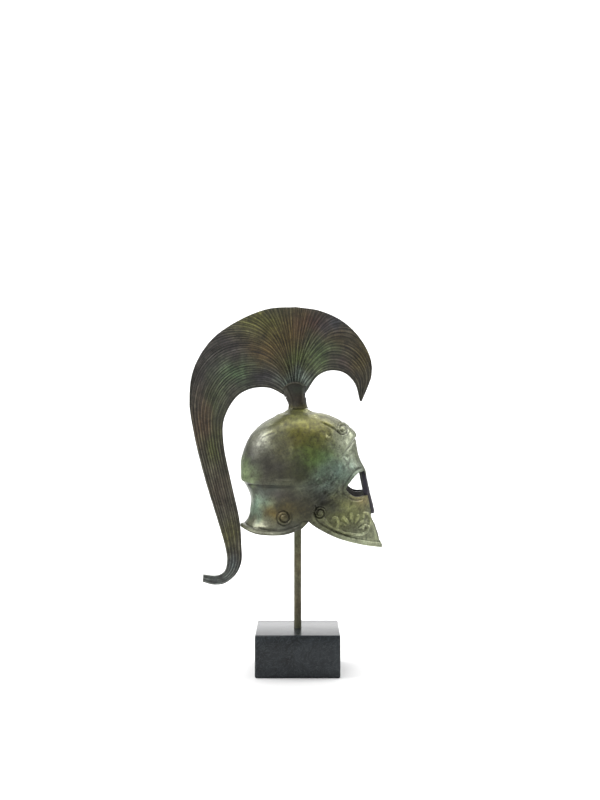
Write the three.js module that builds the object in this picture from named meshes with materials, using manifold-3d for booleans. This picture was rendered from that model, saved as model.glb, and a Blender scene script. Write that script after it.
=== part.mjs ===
// A miniature bronze helmet with a tall fan crest, on a rod and a marble block.
// Millimetres. +X is the way the helmet faces, +Z is up. The origin is the centre of the
// block's underside, on the axis of the rod.

import * as THREE from 'three';
import { mergeVertices } from 'three/addons/utils/BufferGeometryUtils.js';
import Module from 'manifold-3d';

const wasm = await Module();
wasm.setup();

// Stand
const baseWidth = 50;
const baseDepth = 50;
const baseHeight = 25;
const baseBevel = 0.5;
const rodDiameter = 4.4;
const rodSeatDepth = 12;
const spigotDiameter = 2.4;
const spigotLength = 7.5;
const clearance = 0.3;

// Helmet: the rim is the back of the neck guard, and its height is above the block
const rimHeight = 62.2;
const helmetHeight = 69.3;
const helmetLength = 69;
const helmetWidth = 53.6;
const wall = 2.2;
const noseThickening = 1.4;
const reliefHeight = 0.6;
const rimBead = 1.25;
const nasalWidth = 6;
const nasalTipWidth = 4.6;
const nasalThickness = 3.6;
const faceGap = 9;
const crownSeatHeight = 0.4;

// Crest and its holder
const holderLength = 11.4;
const holderWidth = 8.4;
const holderHeight = 16.3;
const slotDepth = 9.6;
const crestThickness = 4;
const crestEdgeThickness = 1.8;
const crestAboveHolder = 44.9;
const crestFrontReach = 44.7;
const crestRearReach = 65.5;
const tailBelowRim = 36.2;
const lipWidth = 1.1;

// Helmet sections from the crown down. Level is a share of the helmet's height above the
// rim; back and front are shares of half its length, half of half its width; sharp is how
// pointed the front is, 2 being round; flare and sag are shares of the height.
const helmetSections = [
  // level, back, front, half, sharp, flare, sag
  [0.996, 0.06, 0.07, 0.08, 2.0, 0, 0],
  [0.986, 0.15, 0.19, 0.20, 2.0, 0, 0],
  [0.967, 0.32, 0.42, 0.39, 1.9, 0, 0],
  [0.94, 0.42, 0.58, 0.51, 1.85, 0, 0],
  [0.915, 0.51, 0.695, 0.61, 1.8, 0, 0],
  [0.863, 0.66, 0.87, 0.73, 1.7, 0, 0],
  [0.798, 0.80, 0.995, 0.84, 1.6, 0, 0],
  [0.722, 0.89, 1.015, 0.91, 1.55, 0, 0],
  [0.636, 0.955, 1.05, 0.96, 1.5, 0, 0.004],
  [0.561, 0.99, 1.10, 0.985, 1.5, 0, 0.012],
  [0.466, 1.0, 1.19, 1.0, 1.45, 0, 0.022],
  [0.401, 0.99, 1.215, 1.0, 1.45, 0, 0.036],
  [0.378, 0.945, 1.225, 0.97, 1.45, 0, 0.036],
  [0.336, 0.89, 1.24, 0.94, 1.45, 0, 0.036],
  [0.278, 0.84, 1.265, 0.92, 1.45, 0, 0.036],
  [0.214, 0.815, 1.30, 0.91, 1.45, 0, 0.038],
  [0.127, 0.82, 1.345, 0.905, 1.45, 0.007, 0.044],
  [0.091, 0.82, 1.362, 0.905, 1.45, 0.014, 0.05],
  [0.04, 0.82, 1.41, 0.90, 1.45, 0.043, 0.058],
  [0.0, 0.82, 1.44, 0.895, 1.45, 0.09, 0.062],
  [-0.082, 0.82, 1.495, 0.875, 1.45, 0.14, 0.062],
  [-0.205, 0.82, 1.552, 0.835, 1.45, 0.14, 0.062],
];
const ridgeLevel = 0.401;

// Side-view outlines: forward is a share of half the helmet's length, level as above
const guardEdge = [
  [-1.05, 0.0],
  [-0.87, -0.032],
  [-0.72, -0.052],
  [-0.46, -0.059],
  [-0.20, -0.049],
  [-0.055, -0.028],
  [0.07, -0.003],
  [0.125, 0.02],
];
const notch = [0.185, 0.056];
const cheekEdge = [
  [0.26, 0.025],
  [0.375, -0.012],
  [0.64, -0.08],
  [0.885, -0.123],
  [1.15, -0.159],
  [1.45, -0.19],
];
const eyeOutline = [
  [0.80, 0.322],
  [0.885, 0.375],
  [0.97, 0.422],
  [1.055, 0.458],
  [1.15, 0.468],
  [1.24, 0.44],
  [1.24, 0.265],
  [1.16, 0.262],
  [0.99, 0.255],
  [0.88, 0.278],
];
const eyeFront = [1.6, 0.265, 0.468];
const nasalTipLevel = 0.095;
const browUpperLine = [[0.36, 0.912], [0.47, 0.892], [0.61, 0.857], [0.70, 0.825]];
const browLowerLine = [[0.98, 0.752], [0.90, 0.70], [0.82, 0.66], [0.765, 0.612]];
const cheekBorder = [
  [0.285, 0.18],
  [0.27, 0.10],
  [0.33, 0.045],
  [0.48, 0.0],
  [0.65, -0.05],
  [0.89, -0.094],
  [1.15, -0.13],
  [1.40, -0.155],
];
const volutes = [
  // forward, level, radius as a share of the height, turn
  [-0.23, 0.092, 0.055, 1],
  [0.375, 0.128, 0.047, -1],
  [0.78, 0.832, 0.05, -1],
];

// Crest sections, each from the inner edge to the outer edge. Forward shares: 0 is the rod
// axis, -1 the neck rim, -2 the rear reach and 1 the front reach. Level shares: -1 is the
// tail's foot, 0 the neck rim, 1 the slot floor and 2 the top of the crest.
const rearCrest = [
  // inner forward, inner level, outer forward, outer level
  [-0.06, 1.0, -0.03, 2.0],
  [-0.25, 1.04, -0.50, 1.98],
  [-0.50, 1.10, -1.02, 1.85],
  [-0.80, 1.09, -1.565, 1.63],
  [-1.06, 1.0, -1.91, 1.31],
  [-1.31, 0.82, -1.995, 0.97],
  [-1.32, 0.63, -1.89, 0.68],
  [-1.18, 0.34, -1.68, 0.34],
  [-1.0, 0.01, -1.43, 0.01],
  [-0.97, -0.36, -1.28, -0.41],
  [-0.97, -0.64, -1.25, -0.62],
  [-1.08, -0.84, -1.30, -0.78],
  [-1.30, -0.98, -1.41, -0.845],
  [-1.52, -1.0, -1.54, -0.855],
  [-1.73, -0.955, -1.72, -0.835],
];
const frontCrest = [
  [-0.06, 1.0, -0.03, 2.0],
  [0.09, 1.065, 0.29, 1.96],
  [0.28, 1.24, 0.59, 1.85],
  [0.45, 1.293, 0.815, 1.68],
  [0.63, 1.265, 0.975, 1.45],
  [0.77, 1.15, 1.0, 1.25],
  [0.84, 0.965, 0.865, 0.965],
];
const strandBend = 1.9;
const fanSections = 6;
const rearEdgeStrands = 14;
const rearTipStrands = 11;
const frontEdgeStrands = 9;
const frontTipStrands = 5;
const fanSteps = 18;
const tailSteps = 14;
const tangRear = -0.72;
const tangFront = 0.40;
const tangFade = 5;
const ribDepth = 0.3;

// Derived places
const rimZ = baseHeight + rimHeight;
const crownZ = rimZ + helmetHeight;
const holderZ = crownZ + crownSeatHeight + clearance;
const holderTop = holderZ + holderHeight;
const slotFloor = holderTop - slotDepth;
const crestRoot = slotFloor + clearance;
const crestTop = holderTop + crestAboveHolder;
const tailFoot = rimZ - tailBelowRim;

const ringSides = 56;
const hollowSides = 36;
const meshTolerance = 0.045;
const holderSides = 32;
const postSides = 24;
const spigotSides = 20;
const far = 2 * (helmetLength + helmetWidth);

function lerp(a, b, t) {
  return a + (b - a) * t;
}

function smooth(from, to, value) {
  const t = THREE.MathUtils.clamp((value - from) / (to - from), 0, 1);
  return t * t * (3 - 2 * t);
}

function helmetX(share) {
  return share * helmetLength / 2;
}

function helmetZ(level) {
  return rimZ + level * helmetHeight;
}

function helmetPoints(shares) {
  return shares.map(([forward, level]) => new THREE.Vector2(helmetX(forward), helmetZ(level)));
}

function toSolid(geometry) {
  const bare = geometry.clone();
  bare.deleteAttribute('normal');
  bare.deleteAttribute('uv');
  const merged = mergeVertices(bare, 1e-4);
  return new wasm.Manifold(new wasm.Mesh({
    numProp: 3,
    vertProperties: new Float32Array(merged.attributes.position.array),
    triVerts: new Uint32Array(merged.index.array),
  }));
}

function toGeometry(solid) {
  const mesh = solid.simplify(meshTolerance).getMesh();
  const geometry = new THREE.BufferGeometry();
  geometry.setAttribute('position', new THREE.BufferAttribute(mesh.vertProperties, 3));
  geometry.setIndex(new THREE.BufferAttribute(mesh.triVerts, 1));
  geometry.computeVertexNormals();
  return geometry;
}

// A closed skin over rings of points, from the top ring down, closed by a point at each end.
// Each ring turns from +X towards +Y, seen from the top end.
function skin(rings, top, bottom) {
  const sides = rings[0].length;
  const points = [top, ...rings.flat(), bottom];
  const faces = [];
  const last = points.length - 1;
  for (let i = 0; i < sides; i += 1) {
    const next = (i + 1) % sides;
    faces.push(0, 1 + i, 1 + next);
    for (let row = 0; row < rings.length - 1; row += 1) {
      const a = 1 + row * sides;
      const b = a + sides;
      faces.push(a + i, b + i, b + next, a + i, b + next, a + next);
    }
    const end = 1 + (rings.length - 1) * sides;
    faces.push(last, end + next, end + i);
  }
  const geometry = new THREE.BufferGeometry().setFromPoints(points);
  geometry.setIndex(faces);
  return geometry;
}

// A prism from a side-view outline (forward, up), reaching from one side to the other
function sidePrism(outline, fromY, toY) {
  const geometry = new THREE.ExtrudeGeometry(new THREE.Shape(outline), {
    depth: toY - fromY,
    bevelEnabled: false,
  });
  geometry.rotateX(Math.PI / 2);
  geometry.translate(0, toY, 0);
  return toSolid(geometry);
}

// A prism from a front-view outline (sideways, up), reaching from one X to another
function frontPrism(outline, fromX, toX) {
  const geometry = new THREE.ExtrudeGeometry(new THREE.Shape(outline), {
    depth: toX - fromX,
    bevelEnabled: false,
  });
  const sidewaysUpForward = new THREE.Matrix4().makeBasis(
    new THREE.Vector3(0, 1, 0),
    new THREE.Vector3(0, 0, 1),
    new THREE.Vector3(1, 0, 0),
  );
  geometry.applyMatrix4(sidewaysUpForward);
  geometry.translate(fromX, 0, 0);
  return toSolid(geometry);
}

function upright(radius, fromZ, toZ, sides) {
  const geometry = new THREE.CylinderGeometry(radius, radius, toZ - fromZ, sides);
  geometry.rotateX(Math.PI / 2);
  geometry.translate(0, 0, (fromZ + toZ) / 2);
  return toSolid(geometry);
}

// The outline moved sideways by a distance, to the left of its direction
function offsetLine(points, distance, closed) {
  return points.map((point, i) => {
    const wrap = (n) => (closed ? (n + points.length) % points.length
      : THREE.MathUtils.clamp(n, 0, points.length - 1));
    const along = points[wrap(i + 1)].clone().sub(points[wrap(i - 1)]).normalize();
    return new THREE.Vector2(point.x - along.y * distance, point.y + along.x * distance);
  });
}

function bandOutline(points, width) {
  const left = offsetLine(points, width / 2, false);
  const right = offsetLine(points, -width / 2, false);
  return [...left, ...right.reverse()];
}

function spiralLine(centre, radius, turn) {
  const steps = 15;
  const turns = 1.3;
  const points = [];
  for (let i = 0; i <= steps; i += 1) {
    const t = i / steps;
    const angle = Math.PI / 2 + turn * (Math.PI / 2 + t * turns * 2 * Math.PI);
    const reach = radius * lerp(1, 0.3, t);
    points.push(new THREE.Vector2(
      centre.x + reach * Math.cos(angle),
      centre.y + reach * Math.sin(angle),
    ));
  }
  return points;
}

function sectionAt(level) {
  const rows = helmetSections;
  if (level >= rows[0][0]) {
    return rows[0];
  }
  const i = rows.findIndex((row) => row[0] <= level);
  if (i < 0) {
    return rows[rows.length - 1];
  }
  const t = (rows[i - 1][0] - level) / (rows[i - 1][0] - rows[i][0]);
  return rows[i].map((value, column) => lerp(rows[i - 1][column], value, t));
}

// A point of the helmet's surface. Angle 0 is the front; inset goes into the metal, square
// to the walls below the ridge and downwards at the crown.
function helmetPoint(level, angle, inset) {
  const [, back, front, half, sharp, flare, sag] = sectionAt(level);
  const rise = THREE.MathUtils.clamp((level - ridgeLevel) / (1 - ridgeLevel), 0, 1);
  const across = Math.sqrt(1 - rise * rise);
  const ahead = Math.cos(angle);
  const aside = Math.sin(angle);
  const backReach = Math.max(helmetX(back) - inset * across, 0.2);
  const frontReach = Math.max(helmetX(front) - inset * noseThickening * across, 0.2);
  const halfReach = Math.max(half * helmetWidth / 2 - inset * across, 0.2);
  const reach = ahead > 0 ? frontReach : backReach;
  const power = ahead > 0 ? 2 / sharp : 1;
  const point = new THREE.Vector3(
    reach * ahead,
    halfReach * Math.sign(aside) * Math.abs(aside) ** power,
    helmetZ(level) - inset * rise - sag * helmetHeight * Math.abs(aside),
  );
  const rear = smooth(helmetX(0.2), helmetX(-0.25), point.x) * lerp(0.7, 1, ahead * ahead);
  const outward = new THREE.Vector2(point.x / reach ** 2, point.y / halfReach ** 2).normalize();
  point.x += outward.x * flare * helmetHeight * rear;
  point.y += outward.y * flare * helmetHeight * rear;
  return point;
}

function helmetBody(inset) {
  const sides = inset > 0 ? hollowSides : ringSides;
  const ring = (level) => Array.from({ length: sides }, (_, i) => (
    helmetPoint(level, 2 * Math.PI * i / sides, inset)));
  const rings = helmetSections.map((row) => ring(row[0]));
  const foot = rings[rings.length - 1].map((point) => (
    new THREE.Vector3(point.x, point.y, point.z - 2 * wall)));
  if (inset > 0) {
    rings.push(foot);
  }
  const lowest = Math.min(...rings[rings.length - 1].map((point) => point.z));
  const top = new THREE.Vector3(0, 0, crownZ - inset);
  return toSolid(skin(rings, top, new THREE.Vector3(0, 0, lowest)));
}

// The edge of the neck guard as a height for each forward place, at the bead's centre
function guardEdgeHeight(x) {
  const edge = helmetPoints(guardEdge);
  const i = THREE.MathUtils.clamp(edge.findIndex((point) => point.x > x), 1, edge.length - 1);
  const t = THREE.MathUtils.clamp((x - edge[i - 1].x) / (edge[i].x - edge[i - 1].x), 0, 1);
  return lerp(edge[i - 1].y, edge[i].y, t) + rimBead;
}

// The rolled rim: a round bead along the guard's edge, around the back
function guardBead() {
  const steps = 44;
  const sides = 8;
  const startAngle = THREE.MathUtils.degToRad(87);
  const centres = [];
  for (let i = 0; i <= steps; i += 1) {
    const angle = lerp(startAngle, 2 * Math.PI - startAngle, i / steps);
    let level = 0;
    let point = helmetPoint(level, angle, wall / 2);
    for (let pass = 0; pass < 4; pass += 1) {
      level += (guardEdgeHeight(point.x) - point.z) / helmetHeight;
      point = helmetPoint(level, angle, wall / 2);
    }
    centres.push(point);
  }
  const rings = centres.map((centre, i) => {
    const before = centres[Math.max(i - 1, 0)];
    const after = centres[Math.min(i + 1, steps)];
    const along = after.clone().sub(before).normalize();
    const outward = new THREE.Vector3(along.y, -along.x, 0).normalize();
    const up = new THREE.Vector3().crossVectors(outward, along);
    return Array.from({ length: sides }, (_, k) => {
      const turn = 2 * Math.PI * (k + 0.5) / sides;
      return centre.clone()
        .addScaledVector(outward, rimBead * Math.cos(turn))
        .addScaledVector(up, rimBead * Math.sin(turn));
    });
  });
  return toSolid(skin(rings, centres[0], centres[steps]));
}

function helmetRelief() {
  const lineWidth = 2 * reliefHeight;
  const broadBand = 0.042 * helmetHeight;
  const outlines = [
    offsetLine(helmetPoints(eyeOutline), 2 * reliefHeight, true),
    bandOutline(helmetPoints(browUpperLine), lineWidth),
    bandOutline(helmetPoints(browLowerLine), lineWidth),
    bandOutline(helmetPoints(cheekBorder), lineWidth),
    bandOutline(offsetLine(helmetPoints(cheekEdge.slice(2)), broadBand / 2, false), broadBand),
  ];
  for (const [forward, level, radius, turn] of volutes) {
    const centre = new THREE.Vector2(helmetX(forward), helmetZ(level));
    outlines.push(bandOutline(spiralLine(centre, radius * helmetHeight, turn), lineWidth));
  }
  const prisms = outlines.map((outline) => sidePrism(outline, -far, far));
  return wasm.Manifold.union(prisms).intersect(helmetBody(-reliefHeight));
}

function lowerCut() {
  const bead = rimBead;
  const guard = helmetPoints(guardEdge).map((p) => new THREE.Vector2(p.x, p.y + bead));
  const first = guard[0];
  const outline = [
    new THREE.Vector2(-far, first.y),
    ...guard,
    ...helmetPoints([notch, ...cheekEdge]),
    new THREE.Vector2(far, helmetPoints(cheekEdge).at(-1).y),
    new THREE.Vector2(far, 0),
    new THREE.Vector2(-far, 0),
  ];
  return sidePrism(outline, -far, far);
}

function eyeCuts() {
  const [reach, low, high] = eyeFront;
  const toFront = [...eyeOutline.slice(0, 5), [reach, high], [reach, low], ...eyeOutline.slice(7)];
  const outline = helmetPoints(toFront);
  return [
    sidePrism(outline, nasalWidth / 2, far),
    sidePrism(outline, -far, -nasalWidth / 2),
  ];
}

// The gap between the cheek pieces, around and below the nasal bar
function faceCut() {
  const top = helmetZ(eyeOutline[7][1]);
  const tip = helmetZ(nasalTipLevel);
  const gap = faceGap / 2;
  const bar = nasalWidth / 2;
  const barTip = nasalTipWidth / 2;
  const outline = [
    [gap, top], [gap, 0], [-gap, 0], [-gap, top], [-bar, top],
    [-barTip, tip + barTip / 2], [-barTip / 2, tip], [barTip / 2, tip],
    [barTip, tip + barTip / 2], [bar, top],
  ].map(([y, z]) => new THREE.Vector2(y, z));
  return frontPrism(outline, helmetX(0.7), far);
}

// Trims the back of the nasal bar to its thickness
function nasalBack() {
  const levels = [eyeFront[2], 0.36, eyeFront[1], 0.18, nasalTipLevel - 0.05];
  const back = levels.map((level) => new THREE.Vector2(
    helmetPoint(level, 0, 0).x - nasalThickness,
    helmetZ(level),
  ));
  const behind = back.map((point) => new THREE.Vector2(helmetX(0.7), point.y)).reverse();
  return sidePrism([...back, ...behind], -faceGap / 2, faceGap / 2);
}

// A flat oval on the crown that the crest holder stands on
function crownSeat() {
  const long = holderLength / 2;
  const wide = holderWidth / 2;
  const shape = new THREE.Shape().absellipse(0, 0, long, wide, 0, 2 * Math.PI);
  const geometry = new THREE.ExtrudeGeometry(shape, {
    depth: wall / 2 + crownSeatHeight,
    bevelEnabled: false,
    curveSegments: 28,
  });
  geometry.translate(0, 0, crownZ - wall / 2);
  return toSolid(geometry);
}

function helmetShell() {
  const spotFace = upright(rodDiameter / 2 + clearance, crownZ - 4 * wall, crownZ - wall, postSides);
  const crownHole = upright(spigotDiameter / 2 + clearance, crownZ - 2 * wall, far, spigotSides);
  const hollow = helmetBody(wall);
  return helmetBody(0)
    .add(helmetRelief())
    .subtract(hollow)
    .subtract(lowerCut())
    .subtract(wasm.Manifold.union(eyeCuts()))
    .subtract(faceCut())
    .subtract(nasalBack())
    .add(crownSeat())
    .subtract(spotFace)
    .subtract(crownHole)
    .add(guardBead());
}

// Crest holder sections from the top down: rear and front are shares of its length, half
// is a share of its width, square is 2 for an oval and more for a squarer plan
const holderSections = [
  // height share, rear, front, half, square
  [1.02, 0.79, 0.47, 0.50, 3.2],
  [0.74, 0.79, 0.46, 0.49, 3.0],
  [0.52, 0.73, 0.44, 0.47, 2.6],
  [0.30, 0.58, 0.46, 0.46, 2.3],
  [0.12, 0.49, 0.50, 0.48, 2.1],
  [0.04, 0.50, 0.54, 0.52, 2.0],
  [0.0, 0.53, 0.57, 0.56, 2.0],
];
const lipLine = [
  [-0.80, 0.76],
  [-0.55, 0.90],
  [-0.20, 0.98],
  [0.10, 0.96],
  [0.27, 0.90],
  [0.50, 0.82],
];

function holderBody(outset) {
  const rings = holderSections.map(([height, rear, front, half, square]) => (
    Array.from({ length: holderSides }, (_, i) => {
      const angle = 2 * Math.PI * i / holderSides;
      const ahead = Math.cos(angle);
      const aside = Math.sin(angle);
      const reach = (ahead > 0 ? front : rear) * holderLength + outset;
      const wide = half * holderWidth + outset;
      const power = 2 / square;
      return new THREE.Vector3(
        reach * Math.sign(ahead) * Math.abs(ahead) ** power,
        wide * Math.sign(aside) * Math.abs(aside) ** power,
        holderZ + height * holderHeight,
      );
    })));
  const top = new THREE.Vector3(0, 0, rings[0][0].z);
  return toSolid(skin(rings, top, new THREE.Vector3(0, 0, holderZ)));
}

function crestHolder() {
  const lip = lipLine.map(([forward, height]) => (
    new THREE.Vector2(forward * holderLength, holderZ + height * holderHeight)));
  const lipBand = sidePrism(bandOutline(lip, lipWidth), -far, far);
  const raised = lipBand.intersect(holderBody(lipWidth / 2));
  const above = sidePrism([
    new THREE.Vector2(-far, lip[0].y),
    ...lip,
    new THREE.Vector2(far, lip.at(-1).y),
    new THREE.Vector2(far, far * 2),
    new THREE.Vector2(-far, far * 2),
  ], -far, far);
  const slotHalf = crestThickness / 2 + clearance;
  const slot = frontPrism([
    new THREE.Vector2(-slotHalf, slotFloor),
    new THREE.Vector2(slotHalf, slotFloor),
    new THREE.Vector2(slotHalf, far * 2),
    new THREE.Vector2(-slotHalf, far * 2),
  ], -far, far);
  const spigotTop = crownZ - wall - clearance + spigotLength;
  const hole = upright(spigotDiameter / 2 + clearance, holderZ - clearance, spigotTop + clearance,
    spigotSides);
  return holderBody(0).subtract(above).add(raised).subtract(slot).subtract(hole);
}

// Places in the crest, from the shares of its tables
function crestX(share) {
  const rim = helmetPoint(0, Math.PI, wall / 2).x - rimBead - clearance;
  if (share >= 0) {
    return share * crestFrontReach;
  }
  return share > -1 ? -share * rim : lerp(rim, -crestRearReach, -share - 1);
}

function crestZ(level) {
  const rim = rimZ + rimBead;
  if (level >= 1) {
    return lerp(crestRoot, crestTop, level - 1);
  }
  return level > 0 ? lerp(rim, crestRoot, level) : lerp(rim, tailFoot, -level);
}

function crestEdges(table) {
  const inner = table.map(([x, z]) => new THREE.Vector3(crestX(x), 0, crestZ(z)));
  const outer = table.map(([, , x, z]) => new THREE.Vector3(crestX(x), 0, crestZ(z)));
  return [inner, outer].map((points) => new THREE.CatmullRomCurve3(points, false, 'centripetal'));
}

// How far a strand has spread from the inner edge at a place, for a spread of 1: it grows
// over the fan's sections and stays the same along the tail
function strandReach(place) {
  const grown = (at) => 1 - Math.exp(-Math.min(at, fanSections) / strandBend);
  return grown(place) / grown(fanSections);
}

// A point of a strand at a place along the sections; start is where it leaves the tang
function strandPoint(edges, last, place, across, start) {
  const [inner, outer] = edges;
  const root = inner.getPoint(0);
  const point = inner.getPoint(place / last).lerp(outer.getPoint(place / last), across);
  point.x += (start - root.x) * Math.exp(-point.distanceTo(root) / tangFade);
  return point;
}

// The strands of one side, from the top of the fan to the inner edge. The first ones end on
// the fan's outer edge, and the others run on to the last section.
function sideStrands(table, edgeCount, tipCount, startAt) {
  const edges = crestEdges(table);
  const last = table.length - 1;
  const total = edgeCount + tipCount;
  const tail = last > fanSections ? tailSteps : 0;
  const strands = [];
  for (let i = 0; i <= total; i += 1) {
    const endsOnEdge = i < edgeCount;
    const endPlace = endsOnEdge ? i / edgeCount * fanSections : fanSections;
    const spread = endsOnEdge ? 1 / strandReach(endPlace) : 1 - (i - edgeCount) / tipCount;
    const points = [];
    for (let step = 0; step <= fanSteps; step += 1) {
      const place = endPlace * step / fanSteps;
      const across = i > 0 ? spread * strandReach(place) : step / fanSteps;
      points.push(strandPoint(edges, last, place, across, startAt(i / total)));
    }
    for (let step = 1; step <= tail && !endsOnEdge; step += 1) {
      const place = lerp(fanSections, last, step / tail);
      points.push(strandPoint(edges, last, place, spread, startAt(i / total)));
    }
    strands.push(points);
  }
  return strands;
}

// All strands in order, from the front inner edge over the top to the rear inner edge
function crestStrands() {
  const top = lerp(tangFront, tangRear, 0.4);
  const rear = sideStrands(rearCrest, rearEdgeStrands, rearTipStrands,
    (t) => lerp(top, tangRear, t) * holderLength);
  const front = sideStrands(frontCrest, frontEdgeStrands, frontTipStrands,
    (t) => lerp(top, tangFront, t) * holderLength);
  return [...front.reverse(), ...rear.slice(1)];
}

// The places around the plume's outline, each as its strand and its step
function plumeOutline(strands) {
  const last = strands.length - 1;
  const outline = strands.map((strand, column) => [column, 0]);
  const endOf = (column) => strands[column].length - 1;
  for (let row = 1; row <= endOf(last); row += 1) {
    outline.push([last, row]);
  }
  for (let column = last - 1; column >= 0; column -= 1) {
    for (let row = endOf(column + 1) - 1; row >= endOf(column); row -= 1) {
      outline.push([column + 1, row]);
    }
    outline.push([column, endOf(column)]);
  }
  for (let row = endOf(0) - 1; row >= 1; row -= 1) {
    outline.push([0, row]);
  }
  return outline;
}

// The plume: a plate with a rib along every other strand, thick at its tang and thin at its
// outline
function crestPlume() {
  const strands = crestStrands();
  const outline = plumeOutline(strands);
  const onOutline = new Set(outline.map(([column, row]) => `${column},${row}`));
  const root = new THREE.Vector3(0, 0, crestRoot);
  const points = [];
  const index = new Map();
  for (const side of [-1, 1]) {
    strands.forEach((strand, column) => {
      strand.forEach((point, row) => {
        const near = Math.exp(-point.distanceTo(root) / crestAboveHolder);
        const body = lerp(crestEdgeThickness, crestThickness, 0.35 + 0.65 * near);
        const groove = column % 2 === 0 ? 0 : 2 * ribDepth;
        let thickness = onOutline.has(`${column},${row}`) ? crestEdgeThickness : body - groove;
        if (row === 0) {
          thickness = crestThickness;
        }
        index.set(`${side},${column},${row}`, points.length);
        points.push(new THREE.Vector3(point.x, side * thickness / 2, point.z));
      });
    });
  }
  const at = (side, column, row) => index.get(`${side},${column},${row}`);
  const faces = [];
  const quad = (a, b, c, d) => faces.push(a, b, c, a, c, d);
  for (let column = 0; column < strands.length - 1; column += 1) {
    const rows = Math.min(strands[column].length, strands[column + 1].length);
    for (let row = 0; row < rows - 1; row += 1) {
      quad(at(-1, column, row), at(-1, column, row + 1),
        at(-1, column + 1, row + 1), at(-1, column + 1, row));
      quad(at(1, column, row), at(1, column + 1, row),
        at(1, column + 1, row + 1), at(1, column, row + 1));
    }
  }
  outline.forEach(([column, row], i) => {
    const [nextColumn, nextRow] = outline[(i + 1) % outline.length];
    quad(at(-1, column, row), at(-1, nextColumn, nextRow),
      at(1, nextColumn, nextRow), at(1, column, row));
  });
  const geometry = new THREE.BufferGeometry().setFromPoints(points);
  geometry.setIndex(faces);
  return toSolid(geometry);
}

function standRod() {
  const foot = baseHeight - rodSeatDepth + clearance;
  const shoulder = crownZ - wall - clearance;
  const radius = rodDiameter / 2;
  const chamfer = 0.4;
  const profile = [
    [0, foot],
    [radius - chamfer, foot],
    [radius, foot + chamfer],
    [radius, shoulder],
    [spigotDiameter / 2, shoulder],
    [spigotDiameter / 2, shoulder + spigotLength],
    [0, shoulder + spigotLength],
  ].map(([x, y]) => new THREE.Vector2(x, y));
  const geometry = new THREE.LatheGeometry(profile, postSides);
  geometry.rotateX(Math.PI / 2);
  return toSolid(geometry);
}

function standBase() {
  const across = baseWidth / 2 - baseBevel;
  const deep = baseDepth / 2 - baseBevel;
  const square = new THREE.Shape([
    new THREE.Vector2(-across, -deep),
    new THREE.Vector2(across, -deep),
    new THREE.Vector2(across, deep),
    new THREE.Vector2(-across, deep),
  ]);
  const geometry = new THREE.ExtrudeGeometry(square, {
    depth: baseHeight - 2 * baseBevel,
    bevelThickness: baseBevel,
    bevelSize: baseBevel,
    bevelSegments: 1,
  });
  geometry.translate(0, 0, baseBevel);
  const seat = upright(rodDiameter / 2 + clearance, baseHeight - rodSeatDepth, baseHeight + clearance,
    postSides);
  return toSolid(geometry).subtract(seat);
}

const bronze = { color: 0x55563f, roughness: 0.42, metalness: 0.6 };
const darkBronze = { color: 0x45443a, roughness: 0.5, metalness: 0.55 };
const rodMetal = { color: 0x5d614f, roughness: 0.4, metalness: 0.6 };
const marble = { color: 0x2c3432, roughness: 0.25, metalness: 0 };

function part(name, solid, finish) {
  const mesh = new THREE.Mesh(toGeometry(solid), new THREE.MeshStandardMaterial(finish));
  mesh.name = name;
  return mesh;
}

const group = new THREE.Group();
group.add(
  part('helmet_shell', helmetShell(), bronze),
  part('crest_holder', crestHolder(), bronze),
  part('crest_plume', crestPlume(), darkBronze),
  part('stand_rod', standRod(), rodMetal),
  part('stand_base', standBase(), marble),
);

export default group;
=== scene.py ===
"""A miniature bronze helmet with a fan crest, on a rod and a marble block, in a white studio.

Lengths are metres, +X is the way the helmet faces and +Z is up. The tables of shapes give
shares of the named sizes, and those of paint give millimetres.
"""

import math

import bpy
import numpy as np
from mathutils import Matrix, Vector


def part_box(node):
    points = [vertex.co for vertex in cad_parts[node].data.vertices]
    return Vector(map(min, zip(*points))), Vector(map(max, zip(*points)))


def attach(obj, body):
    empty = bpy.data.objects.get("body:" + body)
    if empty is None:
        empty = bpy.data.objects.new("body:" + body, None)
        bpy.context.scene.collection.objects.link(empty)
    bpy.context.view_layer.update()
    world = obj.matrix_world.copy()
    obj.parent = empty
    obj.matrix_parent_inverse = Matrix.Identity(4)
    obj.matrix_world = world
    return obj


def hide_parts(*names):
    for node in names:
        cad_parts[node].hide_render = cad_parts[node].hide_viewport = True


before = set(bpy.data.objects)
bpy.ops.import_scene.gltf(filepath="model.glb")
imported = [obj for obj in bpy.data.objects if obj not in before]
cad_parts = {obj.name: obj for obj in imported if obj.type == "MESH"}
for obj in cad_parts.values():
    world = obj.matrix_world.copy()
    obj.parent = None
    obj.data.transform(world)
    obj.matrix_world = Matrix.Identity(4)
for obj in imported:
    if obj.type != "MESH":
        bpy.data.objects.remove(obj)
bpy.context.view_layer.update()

MM = 0.001

# Sizes, read from the frame where it holds them
BLOCK_LOW, BLOCK_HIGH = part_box("stand_base")
ROD_LOW, ROD_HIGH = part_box("stand_rod")
SHELL_LOW, SHELL_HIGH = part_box("helmet_shell")
PLUME_LOW, PLUME_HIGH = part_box("crest_plume")
HOLDER_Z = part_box("crest_holder")[0][2]
ROD_RADIUS = ROD_HIGH[0]
CLEARANCE = 0.3 * MM
CROWN_SEAT = 0.4 * MM
CROWN_Z = SHELL_HIGH[2] - CROWN_SEAT
HELMET_HEIGHT = 69.3 * MM
RIM_Z = CROWN_Z - HELMET_HEIGHT
HALF_LENGTH = 34.5 * MM
HALF_WIDTH = (SHELL_HIGH[1] - SHELL_LOW[1]) / 2
WALL = 2.2 * MM
NOSE_THICKENING = 1.4
RIM_BEAD = 1.25 * MM
NASAL_WIDTH = 6 * MM
NASAL_TIP_WIDTH = 4.6 * MM
NASAL_THICKNESS = 4.2 * MM
FACE_GAP = 9 * MM
HOLDER_LENGTH = 11.4 * MM
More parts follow.
